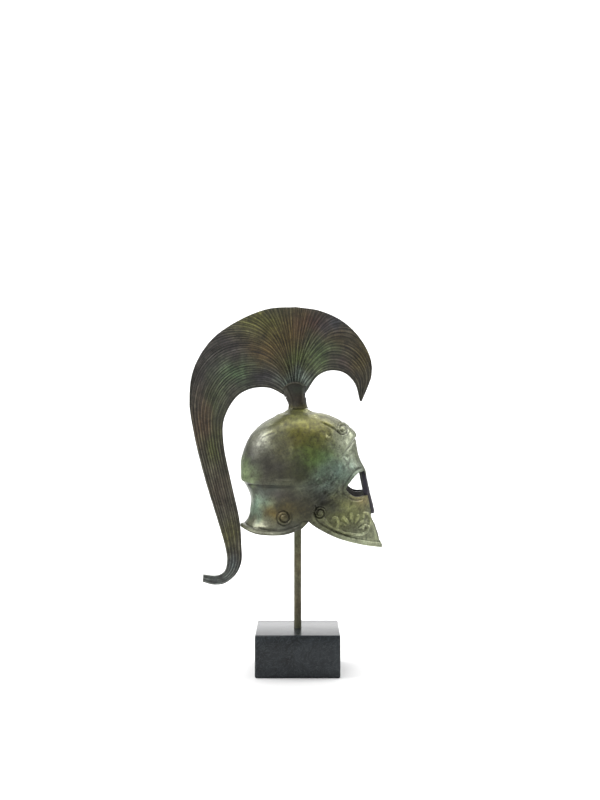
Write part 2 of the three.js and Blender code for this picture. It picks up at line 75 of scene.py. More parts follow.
HOLDER_WIDTH = 8.4 * MM
HOLDER_HEIGHT = 16.3 * MM
SLOT_DEPTH = 9.6 * MM
SLOT_FLOOR = HOLDER_Z + HOLDER_HEIGHT - SLOT_DEPTH
CREST_THICKNESS = 4 * MM
CREST_EDGE = 1.8 * MM
CREST_ROOT = SLOT_FLOOR + CLEARANCE
CREST_TOP = PLUME_HIGH[2]
CREST_FRONT = 44.7 * MM
CREST_REAR = 65.5 * MM
TAIL_FOOT = PLUME_LOW[2] + 0.1 * MM
BLOCK_BEVEL = 0.9 * MM
# The share of its width that the helmet keeps, so that its relief fits into the whole
RELIEF_ROOM = 0.995

# Beyond every part of the model
FAR = 0.3

# The camera; its focal length is in pixels of the picture, 600 wide and 800 high
PICTURE_HEIGHT = 800
FOCAL_PIXELS = 1220
SENSOR = 36.0
CAMERA_PLACE = (1.4 * MM, -736 * MM, 162.3 * MM)

# Sections of the helmet from the crown down. Columns: level, reach back and reach ahead in half
# lengths, half width, sharpness of the face, flare of the guard, sag of the sides
HELMET_SECTIONS = np.array([
    [0.996, 0.06, 0.07, 0.08, 2.0, 0, 0],
    [0.986, 0.15, 0.19, 0.20, 2.0, 0, 0],
    [0.967, 0.32, 0.42, 0.39, 1.9, 0, 0],
    [0.94, 0.42, 0.58, 0.51, 1.85, 0, 0],
    [0.915, 0.51, 0.695, 0.597, 1.8, 0, 0],
    [0.863, 0.66, 0.87, 0.73, 1.7, 0, 0],
    [0.798, 0.80, 0.995, 0.84, 1.6, 0, 0],
    [0.722, 0.89, 1.015, 0.91, 1.55, 0, 0],
    [0.636, 0.955, 1.05, 0.96, 1.5, 0, 0.004],
    [0.561, 0.99, 1.10, 0.985, 1.5, 0, 0.012],
    [0.466, 1.0, 1.19, 1.0, 1.45, 0, 0.022],
    [0.401, 0.99, 1.215, 1.0, 1.45, 0, 0.036],
    [0.378, 0.945, 1.225, 0.97, 1.45, 0, 0.036],
    [0.336, 0.89, 1.24, 0.94, 1.45, 0, 0.036],
    [0.278, 0.84, 1.265, 0.92, 1.45, 0, 0.036],
    [0.214, 0.815, 1.30, 0.91, 1.45, 0, 0.038],
    [0.127, 0.82, 1.345, 0.905, 1.45, 0.007, 0.044],
    [0.091, 0.82, 1.362, 0.905, 1.45, 0.014, 0.05],
    [0.04, 0.82, 1.41, 0.90, 1.45, 0.043, 0.058],
    [0.0, 0.82, 1.44, 0.895, 1.45, 0.09, 0.062],
    [-0.082, 0.82, 1.495, 0.875, 1.45, 0.14, 0.062],
    [-0.205, 0.82, 1.552, 0.835, 1.45, 0.14, 0.062],
])
RIDGE_LEVEL = 0.401
TOP_RING_LEVEL = 0.997
# The grids of the surfaces: columns on one side, rows; and where they are finer
OUTER_GRID = (200, 250)
INNER_GRID = (64, 80)
FACE_ANGLES = (12, 80)
FACE_DENSITY = 2.2
FINE_DEPTHS = (-0.47, 0.2)
DEPTH_DENSITY = 1.5

# Side-view lines of the helmet: forward share of half its length, level share of its height
GUARD_EDGE = [(-1.05, 0.0), (-0.87, -0.032), (-0.72, -0.052), (-0.46, -0.059),
              (-0.20, -0.049), (-0.055, -0.028), (0.07, -0.003), (0.125, 0.02)]
NOTCH = (0.185, 0.056)
CHEEK_EDGE = [(0.26, 0.025), (0.375, -0.012), (0.64, -0.08), (0.885, -0.123),
              (1.15, -0.159), (1.45, -0.19)]
# The eye's opening in the outer face, and the smaller one right through the wall
EYE_BACK = [(1.16, 0.262), (1.0, 0.257), (0.90, 0.283), (0.83, 0.325), (0.895, 0.378),
            (0.97, 0.422), (1.055, 0.458), (1.15, 0.468)]
EYE_INNER = [(1.16, 0.302), (1.0, 0.297), (0.91, 0.32), (0.86, 0.355), (0.90, 0.382),
             (0.97, 0.422), (1.055, 0.458), (1.15, 0.468)]
EYE_REACH = 1.6
EYE_STEPS = 10
EYE_LIP_WALL = 0.8 * MM
NASAL_TIP_LEVEL = 0.095
BROW_UPPER = [(0.36, 0.912), (0.47, 0.892), (0.61, 0.857), (0.70, 0.825)]
BROW_LOWER = [(1.10, 0.79), (0.98, 0.752), (0.90, 0.70), (0.82, 0.66), (0.765, 0.612)]
RIDGE_BAND = [(-0.95, 0.408), (-0.5, 0.403), (0.0, 0.40), (0.35, 0.405)]
RIDGE_CREASE = [(-0.84, 0.362), (-0.6, 0.352), (-0.3, 0.352), (0.0, 0.358), (0.3, 0.372)]
CHEEK_BORDER = [(0.285, 0.18), (0.27, 0.10), (0.33, 0.045), (0.48, 0.0), (0.65, -0.05),
                (0.89, -0.094), (1.15, -0.13), (1.40, -0.155)]
# Volutes: forward, level, radius as a share of the height, and which way they turn
VOLUTES = [(-0.235, 0.092, 0.066, 1), (0.38, 0.13, 0.052, -1), (0.785, 0.836, 0.058, -1)]

# Sections across the crest, from its top to an end, as crest_place counts them. Columns:
# forward and level of the inner edge, forward and level of the outer edge
REAR_CREST = [
    (-0.06, 1.0, -0.03, 2.0), (-0.25, 1.04, -0.50, 1.98), (-0.50, 1.10, -1.02, 1.85),
    (-0.80, 1.09, -1.565, 1.63), (-1.06, 1.0, -1.91, 1.31), (-1.31, 0.82, -1.995, 0.97),
    (-1.32, 0.63, -1.89, 0.68), (-1.18, 0.34, -1.68, 0.34), (-1.0, 0.01, -1.43, 0.01),
    (-0.97, -0.36, -1.28, -0.41), (-0.97, -0.64, -1.25, -0.62), (-1.08, -0.84, -1.30, -0.78),
    (-1.30, -0.98, -1.41, -0.845), (-1.52, -1.0, -1.54, -0.855), (-1.73, -0.955, -1.72, -0.835),
]
FRONT_CREST = [
    (-0.06, 1.0, -0.03, 2.0), (0.09, 1.065, 0.29, 1.96), (0.28, 1.24, 0.59, 1.85),
    (0.45, 1.293, 0.815, 1.68), (0.63, 1.265, 0.975, 1.45), (0.77, 1.15, 1.0, 1.25),
    (0.84, 0.965, 0.865, 0.965),
]
STRAND_BEND = 1.9
FAN_SECTIONS = 6
FAN_STEPS = 64
EDGE_STEPS = 24
TANG_REAR = -0.72
TANG_FRONT = 0.40
TANG_FADE = 5 * MM
LOCK_PITCH = 1.6 * MM
FURROW_DEPTH = 0.42 * MM
EDGE_ROUNDING = 2.2 * MM

# Sections of the holder from its top down. Columns: height, reach back, reach ahead,
# half width, squareness
HOLDER_SECTIONS = np.array([
    [1.02, 0.79, 0.47, 0.50, 3.2],
    [0.74, 0.79, 0.46, 0.49, 3.0],
    [0.52, 0.73, 0.44, 0.47, 2.6],
    [0.30, 0.58, 0.46, 0.46, 2.3],
    [0.12, 0.49, 0.50, 0.48, 2.1],
    [0.04, 0.50, 0.54, 0.52, 2.0],
    [0.0, 0.53, 0.57, 0.56, 2.0],
])
LIP_LINE = [(-0.80, 0.76), (-0.55, 0.90), (-0.20, 0.98), (0.10, 0.96), (0.27, 0.90),
            (0.50, 0.82)]


# Numbers and curves


def smooth(low, high, value):
    t = np.clip((value - low) / (high - low), 0, 1)
    return t * t * (3 - 2 * t)


def hump(distance, reach):
    """A soft rise of height 1 that dies away on both sides of zero distance."""
    return np.exp(-(distance / reach) ** 2)


def bead(distance, width):
    """The cross-section of a raised line, 1 at its middle and 0 at half its width away."""
    return np.sqrt(np.clip(1 - (2 * distance / width) ** 2, 0, 1))


def bulged(value, power):
    """A cosine or sine made fuller or sharper, for the section of a superellipse."""
    return np.sign(value) * np.abs(value) ** power


def hermite_rows(table, at):
    """The table's rows at other values of its first column, which falls down the table."""
    keys = -table[:, 0]
    slopes = np.gradient(table, keys, axis=0)
    at = np.clip(-np.asarray(at), keys[0], keys[-1])
    low = np.clip(np.searchsorted(keys, at, side="right") - 1, 0, len(keys) - 2)
    step = (keys[low + 1] - keys[low])[:, None]
    t = (at[:, None] - keys[low][:, None]) / step
    a, b = table[low], table[low + 1]
    rise = (b - a) / step
    start, end = (np.clip(slopes[row], np.minimum(0, 3 * rise), np.maximum(0, 3 * rise))
                  for row in (low, low + 1))
    return ((2 * t**3 - 3 * t**2 + 1) * a + (t**3 - 2 * t**2 + t) * step * start
            + (3 * t**2 - 2 * t**3) * b + (t**3 - t**2) * step * end)


def rounded(points, per_span=8):
    """A centripetal Catmull-Rom curve through points of a plane."""
    points = np.asarray(points, float)
    padded = np.vstack([2 * points[0] - points[1], points, 2 * points[-1] - points[-2]])
    out = []
    for i in range(len(points) - 1):
        rows = padded[i:i + 4]
        steps = [np.linalg.norm(b - a) ** 0.5 for a, b in zip(rows, rows[1:])]
        knots = np.cumsum([0, *steps])
        t = np.linspace(knots[1], knots[2], per_span, endpoint=False)[:, None]
        for spans in ((0, 1), (1, 2), (2, 3)), ((0, 2), (1, 3)), ((1, 2),):
            rows = [(knots[high] - t) / (knots[high] - knots[low]) * a
                    + (t - knots[low]) / (knots[high] - knots[low]) * b
                    for (low, high), a, b in zip(spans, rows, rows[1:])]
        out.append(rows[0])
    return np.vstack([*out, points[-1:]])


def segment_distances(x, z, points):
    """For each segment of a side-view line: distances to it, and how far left each place is."""
    for (ax, az), (bx, bz) in zip(points[:-1], points[1:]):
        dx, dz = bx - ax, bz - az
        t = np.clip(((x - ax) * dx + (z - az) * dz) / (dx * dx + dz * dz), 0, 1)
        yield np.hypot(x - ax - t * dx, z - az - t * dz), dx * (z - az) - dz * (x - ax)


def line_distance(x, z, points):
    """Distance in the side view from each place to a line of points."""
    best = np.full(x.shape, FAR)
    for away, _ in segment_distances(x, z, points):
        best = np.minimum(best, away)
    return best


def side_distance(x, z, points):
    """As line_distance, but negative to the right of the way the line runs."""
    best = np.full(x.shape, FAR)
    for away, left in segment_distances(x, z, points):
        best = np.where(away < np.abs(best), away * np.sign(left), best)
    return best


def wobble(points, length, seed):
    """Smooth noise from -1 to 1 with features of about this length."""
    random = np.random.default_rng(seed)
    total = np.zeros(len(points))
    for octave in range(6):
        direction = random.normal(size=3)
        direction *= 2 * math.pi / (length * (0.6 + 0.25 * octave)) / np.linalg.norm(direction)
        total += np.sin(points @ direction + random.uniform(0, 2 * math.pi))
    return total / 3.2


def side_place(forward, level):
    """A place in the helmet's side view from its shares."""
    return forward * HALF_LENGTH, RIM_Z + level * HELMET_HEIGHT


def offsets(x, z, forward, level):
    """How far ahead of and above a place of the side view the points are."""
    place_x, place_z = side_place(forward, level)
    return x - place_x, z - place_z


def helmet_line(shares, per_span=8):
    return rounded([side_place(forward, level) for forward, level in shares], per_span)


def to_line(x, z, shares, per_span=8):
    return line_distance(x, z, helmet_line(shares, per_span))


# Meshes


def new_object(name, vertices, faces):
    mesh = bpy.data.meshes.new(name)
    mesh.from_pydata([tuple(v) for v in vertices], [], [tuple(f) for f in faces])
    mesh.update()
    obj = bpy.data.objects.new(name, mesh)
    bpy.context.scene.collection.objects.link(obj)
    return obj


def skin_object(name, rings, top, bottom):
    """A closed skin over rings from the top down; a ring turns from +X towards +Y."""
    rows, columns, _ = rings.shape
    vertices = np.vstack([rings.reshape(-1, 3), [top], [bottom]])
    head, foot = rows * columns, rows * columns + 1
    last = (rows - 1) * columns
    pairs = [(i, (i + 1) % columns) for i in range(columns)]
    faces = [(start + i, start + columns + i, start + columns + after, start + after)
             for start in range(0, last, columns) for i, after in pairs]
    for i, after in pairs:
        faces += [(head, i, after), (foot, last + after, last + i)]
    return new_object(name, vertices, faces)


def prism(name, near, away):
    """A prism between two like outlines; the near one runs anticlockwise as its viewer sees it."""
    n = len(near)
    faces = [tuple(range(n)), tuple(range(2 * n - 1, n - 1, -1))]
    faces += [(i, i + n, (i + 1) % n + n, (i + 1) % n) for i in range(n)]
    return new_object(name, near + away, faces)


def side_prism(name, outline, low_y, high_y):
    """A prism from a side-view outline that runs anticlockwise, seen from -Y."""
    return prism(name, [(x, low_y, z) for x, z in outline], [(x, high_y, z) for x, z in outline])


def front_prism(name, outline, low_x, high_x):
    """A prism from an outline (sideways, up) that runs anticlockwise, seen from +X."""
    return prism(name, [(high_x, y, z) for y, z in outline], [(low_x, y, z) for y, z in outline])


def turned_rings(radii, levels, columns):
    """Rings of a turned form, for skin_object."""
    angles = np.linspace(0, 2 * math.pi, columns, endpoint=False)
    radii, levels = np.asarray(radii)[:, None], np.asarray(levels)[:, None]
    return np.stack([radii * np.cos(angles), radii * np.sin(angles),
                     np.repeat(levels, columns, 1)], -1)


def carve(obj, cutters):
    """Cuts the cutters out of the object and deletes them."""
    for cutter in cutters:
        modifier = obj.modifiers.new("cut", "BOOLEAN")
        modifier.operation = "DIFFERENCE"
        modifier.solver = "MANIFOLD"
        modifier.object = cutter
    graph = bpy.context.evaluated_depsgraph_get()
    carved = bpy.data.meshes.new_from_object(obj.evaluated_get(graph))
    obj.modifiers.clear()
    carved.materials.clear()
    carved.polygons.foreach_set("material_index", [0] * len(carved.polygons))
    old = obj.data
    obj.data = carved
    bpy.data.meshes.remove(old)
    for cutter in cutters:
        bpy.data.objects.remove(cutter)


def mesh_points(obj, field="co"):
    """The places of the vertices, or with "normal" their normals, a row for each."""
    values = np.empty(len(obj.data.vertices) * 3)
    obj.data.vertices.foreach_get(field, values)
    return values.reshape(-1, 3)


def set_points(obj, points):
    obj.data.vertices.foreach_set("co", np.asarray(points, float).ravel())
    obj.data.update()


def paint(obj, name, colours):
    """Stores a linear colour for each vertex."""
    layer = obj.data.color_attributes.new(name, "FLOAT_COLOR", "POINT")
    rgba = np.ones((len(colours), 4), np.float32)
    rgba[:, :3] = np.clip(colours, 0, 1)
    layer.data.foreach_set("color", rgba.ravel())


def finish_mesh(obj, material, angle=35):
    """The material, and smooth shading with the edges above an angle kept sharp."""
    obj.data.polygons.foreach_set("use_smooth", [True] * len(obj.data.polygons))
    obj.data.set_sharp_from_angle(angle=math.radians(angle))
    obj.data.update()
    obj.data.materials.append(material)


# Colour


def srgb(red, green, blue):
    """A display colour out of 255 as linear light."""
    value = np.array([red, green, blue]) / 255
    return np.where(value <= 0.04045, value / 12.92, ((value + 0.055) / 1.055) ** 2.4)


def tinted(colours, share, colour):
    """The colours moved towards another one, by a share for each point."""
    return colours * (1 - share[:, None]) + colour * share[:, None]


def patchwork(points, base, patches, seed, ragged):
    """Soft-edged patches of display colours, with places and reaches in millimetres."""
    x = points[:, 0] + ragged * wobble(points, 9 * MM, seed)
    z = points[:, 2] + ragged * wobble(points, 11 * MM, seed + 1)
    colours = np.tile(srgb(*base), (len(points), 1))
    for place_x, place_z, reach_x, reach_z, strength, colour in patches:
        squared = ((x - place_x * MM) / (reach_x * MM)) ** 2
        squared += ((z - place_z * MM) / (reach_z * MM)) ** 2
        colours = tinted(colours, strength * np.exp(-squared), srgb(*colour))
    return colours


class Nodes:
    """Short names for making and linking the nodes of one material."""

    def __init__(self, name):
        self.material = bpy.data.materials.new(name)
        self.material.use_nodes = True
        self.tree = self.material.node_tree
        self.shader = self.tree.nodes["Principled BSDF"].inputs
        self.place = self.add("ShaderNodeTexCoord").outputs["Object"]

    def feed(self, socket, value):
        """Links a socket to an output, or sets it to a number or a colour."""
        if isinstance(value, bpy.types.NodeSocket):
            self.tree.links.new(value, socket)
        elif isinstance(value, (int, float)):
            socket.default_value = value
        else:
            socket.default_value = (*[float(part) for part in value], 1)

    def add(self, kind, inputs=None, **settings):
        node = self.tree.nodes.new(kind)
        for key, value in settings.items():
            setattr(node, key, value)
        for key, value in (inputs or {}).items():
            self.feed(node.inputs[key], value)
        return node

    def noise(self, scale, detail, rough, distortion=0.0, vector=None):
        values = {"Vector": vector or self.place, "Scale": scale, "Detail": detail,
                  "Roughness": rough, "Distortion": distortion}
        return self.add("ShaderNodeTexNoise", values).outputs["Fac"]

    def span(self, value, low, high, to_low, to_high):
        values = {"Value": value, "From Min": low, "From Max": high, "To Min": to_low,
                  "To Max": to_high}
        return self.add("ShaderNodeMapRange", values).outputs["Result"]

    def math(self, operation, *values):
        return self.add("ShaderNodeMath", dict(enumerate(values)), operation=operation).outputs[0]

    def mix(self, factor, a, b, blend="MIX"):
        """A colour mix; sockets 6 and 7 are the node's two colours."""
        values = {"Factor": factor, 6: a, 7: b}
        return self.add("ShaderNodeMix", values, data_type="RGBA", blend_type=blend).outputs[2]

    def bump(self, height, distance, strength, before=None):
        values = {"Height": height, "Distance": distance, "Strength": strength}
        if before is not None:
            values["Normal"] = before
        return self.add("ShaderNodeBump", values).outputs["Normal"]


def patina_material(name, metallic, roughness, dirt, strands=False):
    """Waxed patina over cast bronze: painted patches, mottling, fine pits and dirt."""
    n = Nodes(name)
    painted = n.add("ShaderNodeVertexColor", layer_name="patina").outputs["Color"]
    blotch = n.noise(190, 5, 0.62, 0.4)
    speck = n.noise(900, 3, 0.7)
    grain = n.noise(2600, 2, 0.6)
    colour = n.mix(n.span(blotch, 0.36, 0.60, 0.55, 0.0), painted, dirt)
    worn = n.mix(1.0, painted, (1.6, 1.65, 1.45), "MULTIPLY")
    colour = n.mix(n.span(speck, 0.5, 0.72, 0.0, 0.45), colour, worn)
    colour = n.mix(n.span(speck, 0.30, 0.44, 0.6, 0.0), colour, dirt)
    height = n.math("ADD", n.math("MULTIPLY", blotch, 0.5), n.math("MULTIPLY", speck, 0.35))
    normal = n.bump(height, 0.22 * MM, 0.55)
    normal = n.bump(grain, 0.05 * MM, 0.4, normal)
    if strands:
        strand = n.add("ShaderNodeAttribute", attribute_name="strand").outputs["Vector"]
        streak = n.noise(1.9, 3, 0.65, 0.25, strand)
        fine = n.noise(4.3, 2, 0.6, 0.2, strand)
        gleam = n.mix(1.0, painted, (1.9, 1.9, 1.8), "MULTIPLY")
        colour = n.mix(n.span(streak, 0.36, 0.52, 0.75, 0.0), colour, dirt)
        colour = n.mix(n.span(streak, 0.55, 0.74, 0.0, 0.42), colour, gleam)
        normal = n.bump(streak, 0.55 * MM, 0.8, normal)
        normal = n.bump(fine, 0.2 * MM, 0.6, normal)
    n.feed(n.shader["Base Color"], colour)
    n.feed(n.shader["Roughness"], n.span(blotch, 0.35, 0.65, *roughness[::-1]))
    n.feed(n.shader["Normal"], normal)
    n.feed(n.shader["Metallic"], metallic)
    n.feed(n.shader["Specular IOR Level"], 0.5)
    return n.material


def marble_material():
    """Polished dark green marble: cloudy ground, fine pale veins, specks."""
    n = Nodes("marble")
    cloud = n.noise(55, 8, 0.68, 1.2)
    crackle = n.noise(120, 6, 0.7, 2.2)
    speck = n.noise(700, 4, 0.7)
    vein = n.math("ABSOLUTE", n.math("SUBTRACT", crackle, 0.5))
    colour = n.mix(n.span(cloud, 0.35, 0.68, 0.0, 1.0), srgb(15, 18, 21), srgb(42, 47, 51))
    colour = n.mix(n.span(vein, 0.0, 0.018, 0.5, 0.0), colour, srgb(78, 86, 88))
    colour = n.mix(n.span(speck, 0.6, 0.75, 0.0, 0.35), colour, srgb(84, 90, 94))
    n.feed(n.shader["Base Color"], colour)
    n.feed(n.shader["Roughness"], n.span(cloud, 0.3, 0.7, 0.2, 0.24))
    n.feed(n.shader["Normal"], n.bump(speck, 0.02 * MM, 0.1))
    n.feed(n.shader["Specular IOR Level"], 0.3)
    return n.material


# The helmet


def helmet_points(levels, angles, inset):
    """Places on the helmet's surface for a grid of levels and angles; angle 0 is the front."""
    rows = hermite_rows(HELMET_SECTIONS, levels)
    _, back, front, half, sharp, flare, sag = (rows[:, i][:, None] for i in range(7))
    level = np.asarray(levels)[:, None]
    rise = np.clip((level - RIDGE_LEVEL) / (1 - RIDGE_LEVEL), 0, 1)
    across = np.sqrt(1 - rise**2)
    ahead, aside = np.cos(angles)[None, :], np.sin(angles)[None, :]
    tiny = 0.2 * MM
    back_reach = np.maximum(back * HALF_LENGTH - inset * across, tiny)
    front_reach = np.maximum(front * HALF_LENGTH - inset * NOSE_THICKENING * across, tiny)
    half_reach = np.maximum(half * HALF_WIDTH - inset * across, tiny)
    reach = np.where(ahead > 0, front_reach, back_reach)
    x = reach * ahead
    y = half_reach * bulged(aside, np.where(ahead > 0, 2 / sharp, 1.0))
    z = RIM_Z + level * HELMET_HEIGHT - inset * rise - sag * HELMET_HEIGHT * np.abs(aside)
    rear = smooth(-0.2, 0.25, -x / HALF_LENGTH) * (0.7 + 0.3 * ahead**2)
    out_x, out_y = x / reach**2, y / half_reach**2
    outward = flare * HELMET_HEIGHT * rear / np.maximum(np.hypot(out_x, out_y), 1e-9)
    return np.stack([x + out_x * outward, y + out_y * outward, np.broadcast_to(z, x.shape)], -1)


def lower_edge():
    """The side-view lines of the lower edge: the guard's, and the cheek's from the notch."""
    return helmet_line(GUARD_EDGE), np.vstack([side_place(*NOTCH), helmet_line(CHEEK_EDGE)])


# Leaves of the cheek's palmette. Columns: forward, level, length, half width, lean in degrees
PALMETTE = [
    (0.94, 0.035, 0.095, 0.016, 100), (0.99, 0.028, 0.085, 0.015, 68),
    (0.88, 0.030, 0.085, 0.015, 130), (1.03, 0.012, 0.07, 0.013, 40),
    (0.83, 0.016, 0.07, 0.013, 156), (1.04, -0.015, 0.05, 0.011, 12),
]
TENDRILS = [
    [(0.44, 0.085), (0.52, 0.035), (0.66, -0.01), (0.80, -0.045), (0.93, -0.058)],
    [(0.66, -0.01), (0.70, 0.045), (0.66, 0.085), (0.60, 0.08), (0.60, 0.05)],
    [(0.93, -0.058), (1.08, -0.068), (1.19, -0.045), (1.21, -0.005), (1.15, 0.01),
     (1.12, -0.015)],
    [(1.21, -0.03), (1.26, 0.045), (1.22, 0.105), (1.15, 0.11), (1.14, 0.075)],
]
FRONT_GROOVE = [(1.262, 0.12), (1.352, -0.01), (1.425, -0.125)]
BAND_MARKS = [[(0.655, -0.035), (0.68, -0.085)], [(0.80, -0.07), (0.82, -0.115)],
              [(1.0, -0.10), (1.02, -0.145)]]
# Dents and pits of the casting: forward, level, radius, depth in shares of the height
DENTS = [
    (0.535, 0.782, 0.016, 0.011), (0.50, 0.80, 0.03, 0.005), (-0.425, 0.628, 0.012, 0.008),
    (0.84, 0.60, 0.014, 0.006), (0.66, 0.375, 0.018, 0.010), (0.585, 0.46, 0.016, 0.008),
    (0.64, 0.42, 0.012, 0.006), (0.74, 0.295, 0.014, 0.008), (0.46, 0.32, 0.02, 0.007),
    (0.56, 0.54, 0.016, 0.005), (0.38, 0.41, 0.014, 0.005), (0.44, 0.225, 0.025, 0.008),
    (0.70, 0.745, 0.03, 0.004), (0.60, 0.70, 0.025, 0.004), (0.13, 0.265, 0.02, 0.005),
]
SLASH = [(-0.60, 0.765), (-0.50, 0.79), (-0.40, 0.803)]
RIM_MARK = [(-0.66, -0.005), (-0.52, -0.012), (-0.40, -0.01)]


def leaf(x, z, forward, level, length, half_width, lean):
    """A raised leaf with a sunk midrib."""
    angle = math.radians(lean)
    dx, dz = offsets(x, z, forward, level)
    along = (dx * math.cos(angle) + dz * math.sin(angle)) / (length * HELMET_HEIGHT)
    across = np.abs(dz * math.cos(angle) - dx * math.sin(angle)) / (half_width * HELMET_HEIGHT)
    swell = np.sqrt(np.clip(along * (1 - along) * 4, 0, 1)) * (0.65 + 0.5 * np.clip(along, 0, 1))
    inside = np.clip(1 - (across / np.maximum(swell, 1e-6)) ** 2, 0, 1) * (swell > 0)
    return np.sqrt(inside) - 0.35 * hump(across, 0.25) * (inside > 0)


def cheek_relief(x, z):
    """Border, tendrils and palmette on the cheek piece, on a sunk ground."""
    ahead = x / HALF_LENGTH
    inward = side_distance(x, z, helmet_line(CHEEK_BORDER))
    height = 0.6 * MM * bead(inward, 1.2 * MM)
    height -= 0.4 * MM * hump(inward - 1.15 * MM, 0.45 * MM)
    band = smooth(2.9 * MM, 2.5 * MM, line_distance(x, z, lower_edge()[1]))
    height += 0.45 * MM * band * smooth(0.58, 0.68, ahead)
    height -= 0.4 * MM * hump(to_line(x, z, FRONT_GROOVE), 0.5 * MM)
    for mark in BAND_MARKS:
        height -= 0.5 * MM * hump(to_line(x, z, mark), 0.4 * MM)
    raised = [0.8 * bead(to_line(x, z, tendril), 1.5 * MM) for tendril in TENDRILS]
    raised += [leaf(x, z, *values) for values in PALMETTE]
    raised = np.max(raised, axis=0)
    level = (z - RIM_Z) / HELMET_HEIGHT
    field = smooth(1.3 * MM, 2.2 * MM, inward) * smooth(0.16, 0.10, level - 0.03 * ahead)
    field *= smooth(0.40, 0.56, ahead)
    return height + 0.75 * MM * raised - 0.2 * MM * field * (raised < 0.05)


def volute_relief(x, z):
    """Spirals that wind out of a knob."""
    pitch = 0.46
    height = np.zeros(x.shape)
    for forward, level, radius, turn in VOLUTES:
        dx, dz = offsets(x, z, forward, level)
        away = np.hypot(dx, dz) / (radius * HELMET_HEIGHT)
        winding = np.cos(2 * math.pi * away / pitch - turn * np.arctan2(dz, dx))
        ring = smooth(1.2, 1.0, away) * smooth(0.3, 0.5, away)
        height += (0.42 * winding - 0.18) * MM * ring + 0.8 * MM * smooth(0.42, 0.16, away)
    return height


def brow_relief(x, y, z):
    """The raised brow plate with its upper and lower edges, and the keel in its middle."""
    ahead = x / HALF_LENGTH
    above = side_distance(x, z, helmet_line(BROW_UPPER))
    height = 0.35 * MM * (bead(above, 1.3 * MM) - hump(above + 1.0 * MM, 0.5 * MM))
    height *= smooth(0.36, 0.5, ahead)
    below = side_distance(x, z, helmet_line(BROW_LOWER))
    plate = smooth(0.4 * MM, -0.4 * MM, below) * hump(below, 3.5 * MM)
    crease = hump(below - 0.8 * MM, 0.6 * MM)
    height += (0.5 * plate - 0.4 * crease) * MM * smooth(0.74, 0.84, ahead)
    keel = smooth(0.30, 0.5, ahead) * smooth(0.60, 0.76, (z - RIM_Z) / HELMET_HEIGHT)
    return height + 0.35 * MM * keel * hump(y, 1.2 * MM)


def ridge_relief(x, z):
    """The ridge round the bowl's foot, with the crease under it, dying out forwards."""
    fade = smooth(0.35, -0.3, x / HALF_LENGTH)
    return fade * (0.3 * MM * hump(to_line(x, z, RIDGE_BAND), 1.3 * MM)
                   - 0.5 * MM * hump(to_line(x, z, RIDGE_CREASE), 0.75 * MM))


def eye_relief(x, z):
    """A raised rim round the eye opening, with a soft furrow outside it."""
    to_eye = to_line(x, z, EYE_BACK, EYE_STEPS)
    rim = smooth(1.6 * MM, 1.1 * MM, to_eye) * smooth(-0.1 * MM, 0.4 * MM, to_eye)
    furrow = hump(to_eye - 2.1 * MM, 0.6 * MM)
    return (0.6 * MM * rim - 0.35 * MM * furrow) * smooth(1.16, 1.08, x / HALF_LENGTH)


def edge_relief(x, z):
    """The guard's rolled rim with the groove above it, and rounded lower edges."""
    to_guard, to_cheek = (line_distance(x, z, edge) for edge in lower_edge())
    roll = 0.5 * MM * bead(to_guard - 1.1 * MM, 2.6 * MM)
    groove = 0.45 * MM * hump(to_guard - 3.0 * MM, 0.45 * MM)
    mark = 0.5 * MM * hump(to_line(x, z, RIM_MARK), 0.6 * MM)
    round_off = 0.5 * MM * (smooth(0.8 * MM, 0, to_guard) + smooth(0.7 * MM, 0, to_cheek))
    return roll - groove - mark - round_off


def side_relief(points):
    """All the relief that belongs to the side view, as height above the plain surface."""
    x, y, z = points.T
    height = volute_relief(x, z) + cheek_relief(x, z) + brow_relief(x, y, z)
    return height + eye_relief(x, z) + edge_relief(x, z) + ridge_relief(x, z)


def slash_depth(points):
    """1 in the slash on the right side, 0 elsewhere."""
    x, y, z = points.T
    return (y < 0) * hump(to_line(x, z, SLASH), 0.42 * MM)


def corroded(points):
    """How rough the surface is: most between the eye and the neck."""
    (x, reach_x), (z, reach_z) = (17 * MM, 12 * MM), (110 * MM, 11 * MM)
    return hump(points[:, 0] - x, reach_x) * hump(points[:, 2] - z, reach_z)


def wear_relief(points):
    """Dents, pits, the slash and the unevenness of the casting; the two sides differ."""
    x, y, z = points.T
    height = np.zeros(len(points))
    slip = np.where(y > 0, 3.1 * MM, 0.0)
    for forward, level, radius, depth in DENTS:
        dx, dz = offsets(x + slip, z - slip, forward, level)
        height -= depth * HELMET_HEIGHT * hump(np.hypot(dx, dz), radius * HELMET_HEIGHT)
    height -= 0.22 * MM * slash_depth(points)
    rough = 0.2 * MM * corroded(points)
    height += rough * (wobble(points, 1.7 * MM, 5) + wobble(points, 3 * MM, 6))
    height += 0.12 * MM * wobble(points, 15 * MM, 3)
    return height + 0.05 * MM * wobble(points, 3.4 * MM, 4)


def crown_fillet(points):
    """Raises the crown to the flat that carries the crest holder, with a small fillet."""
    x, y, z = points.T
    reach, fillet = 0.54, 0.5
    oval = ((x / (HOLDER_LENGTH * reach)) ** 4 + (y / (HOLDER_WIDTH * reach)) ** 4) ** 0.25
    blend = np.clip(1 - (oval - 1) / fillet, 0, 1) ** 2.4 * (z > CROWN_Z - 6 * MM)
    return points + np.stack([0 * x, 0 * x, (HOLDER_Z - 0.02 * MM - z) * blend], 1)


def eye_opening(shares):
    """An eye opening in the side view as a closed outline, from the line of its back."""
    line = helmet_line(shares, EYE_STEPS)
    reach = EYE_REACH * HALF_LENGTH
    return np.array([*line, (reach, line[-1][1]), (reach, line[0][1])])


def eye_foot(front):
    """The lower edge of the eye, from a share ahead to behind the eye's corner."""
    return [(front, EYE_BACK[0][1]), *EYE_BACK[:4]]


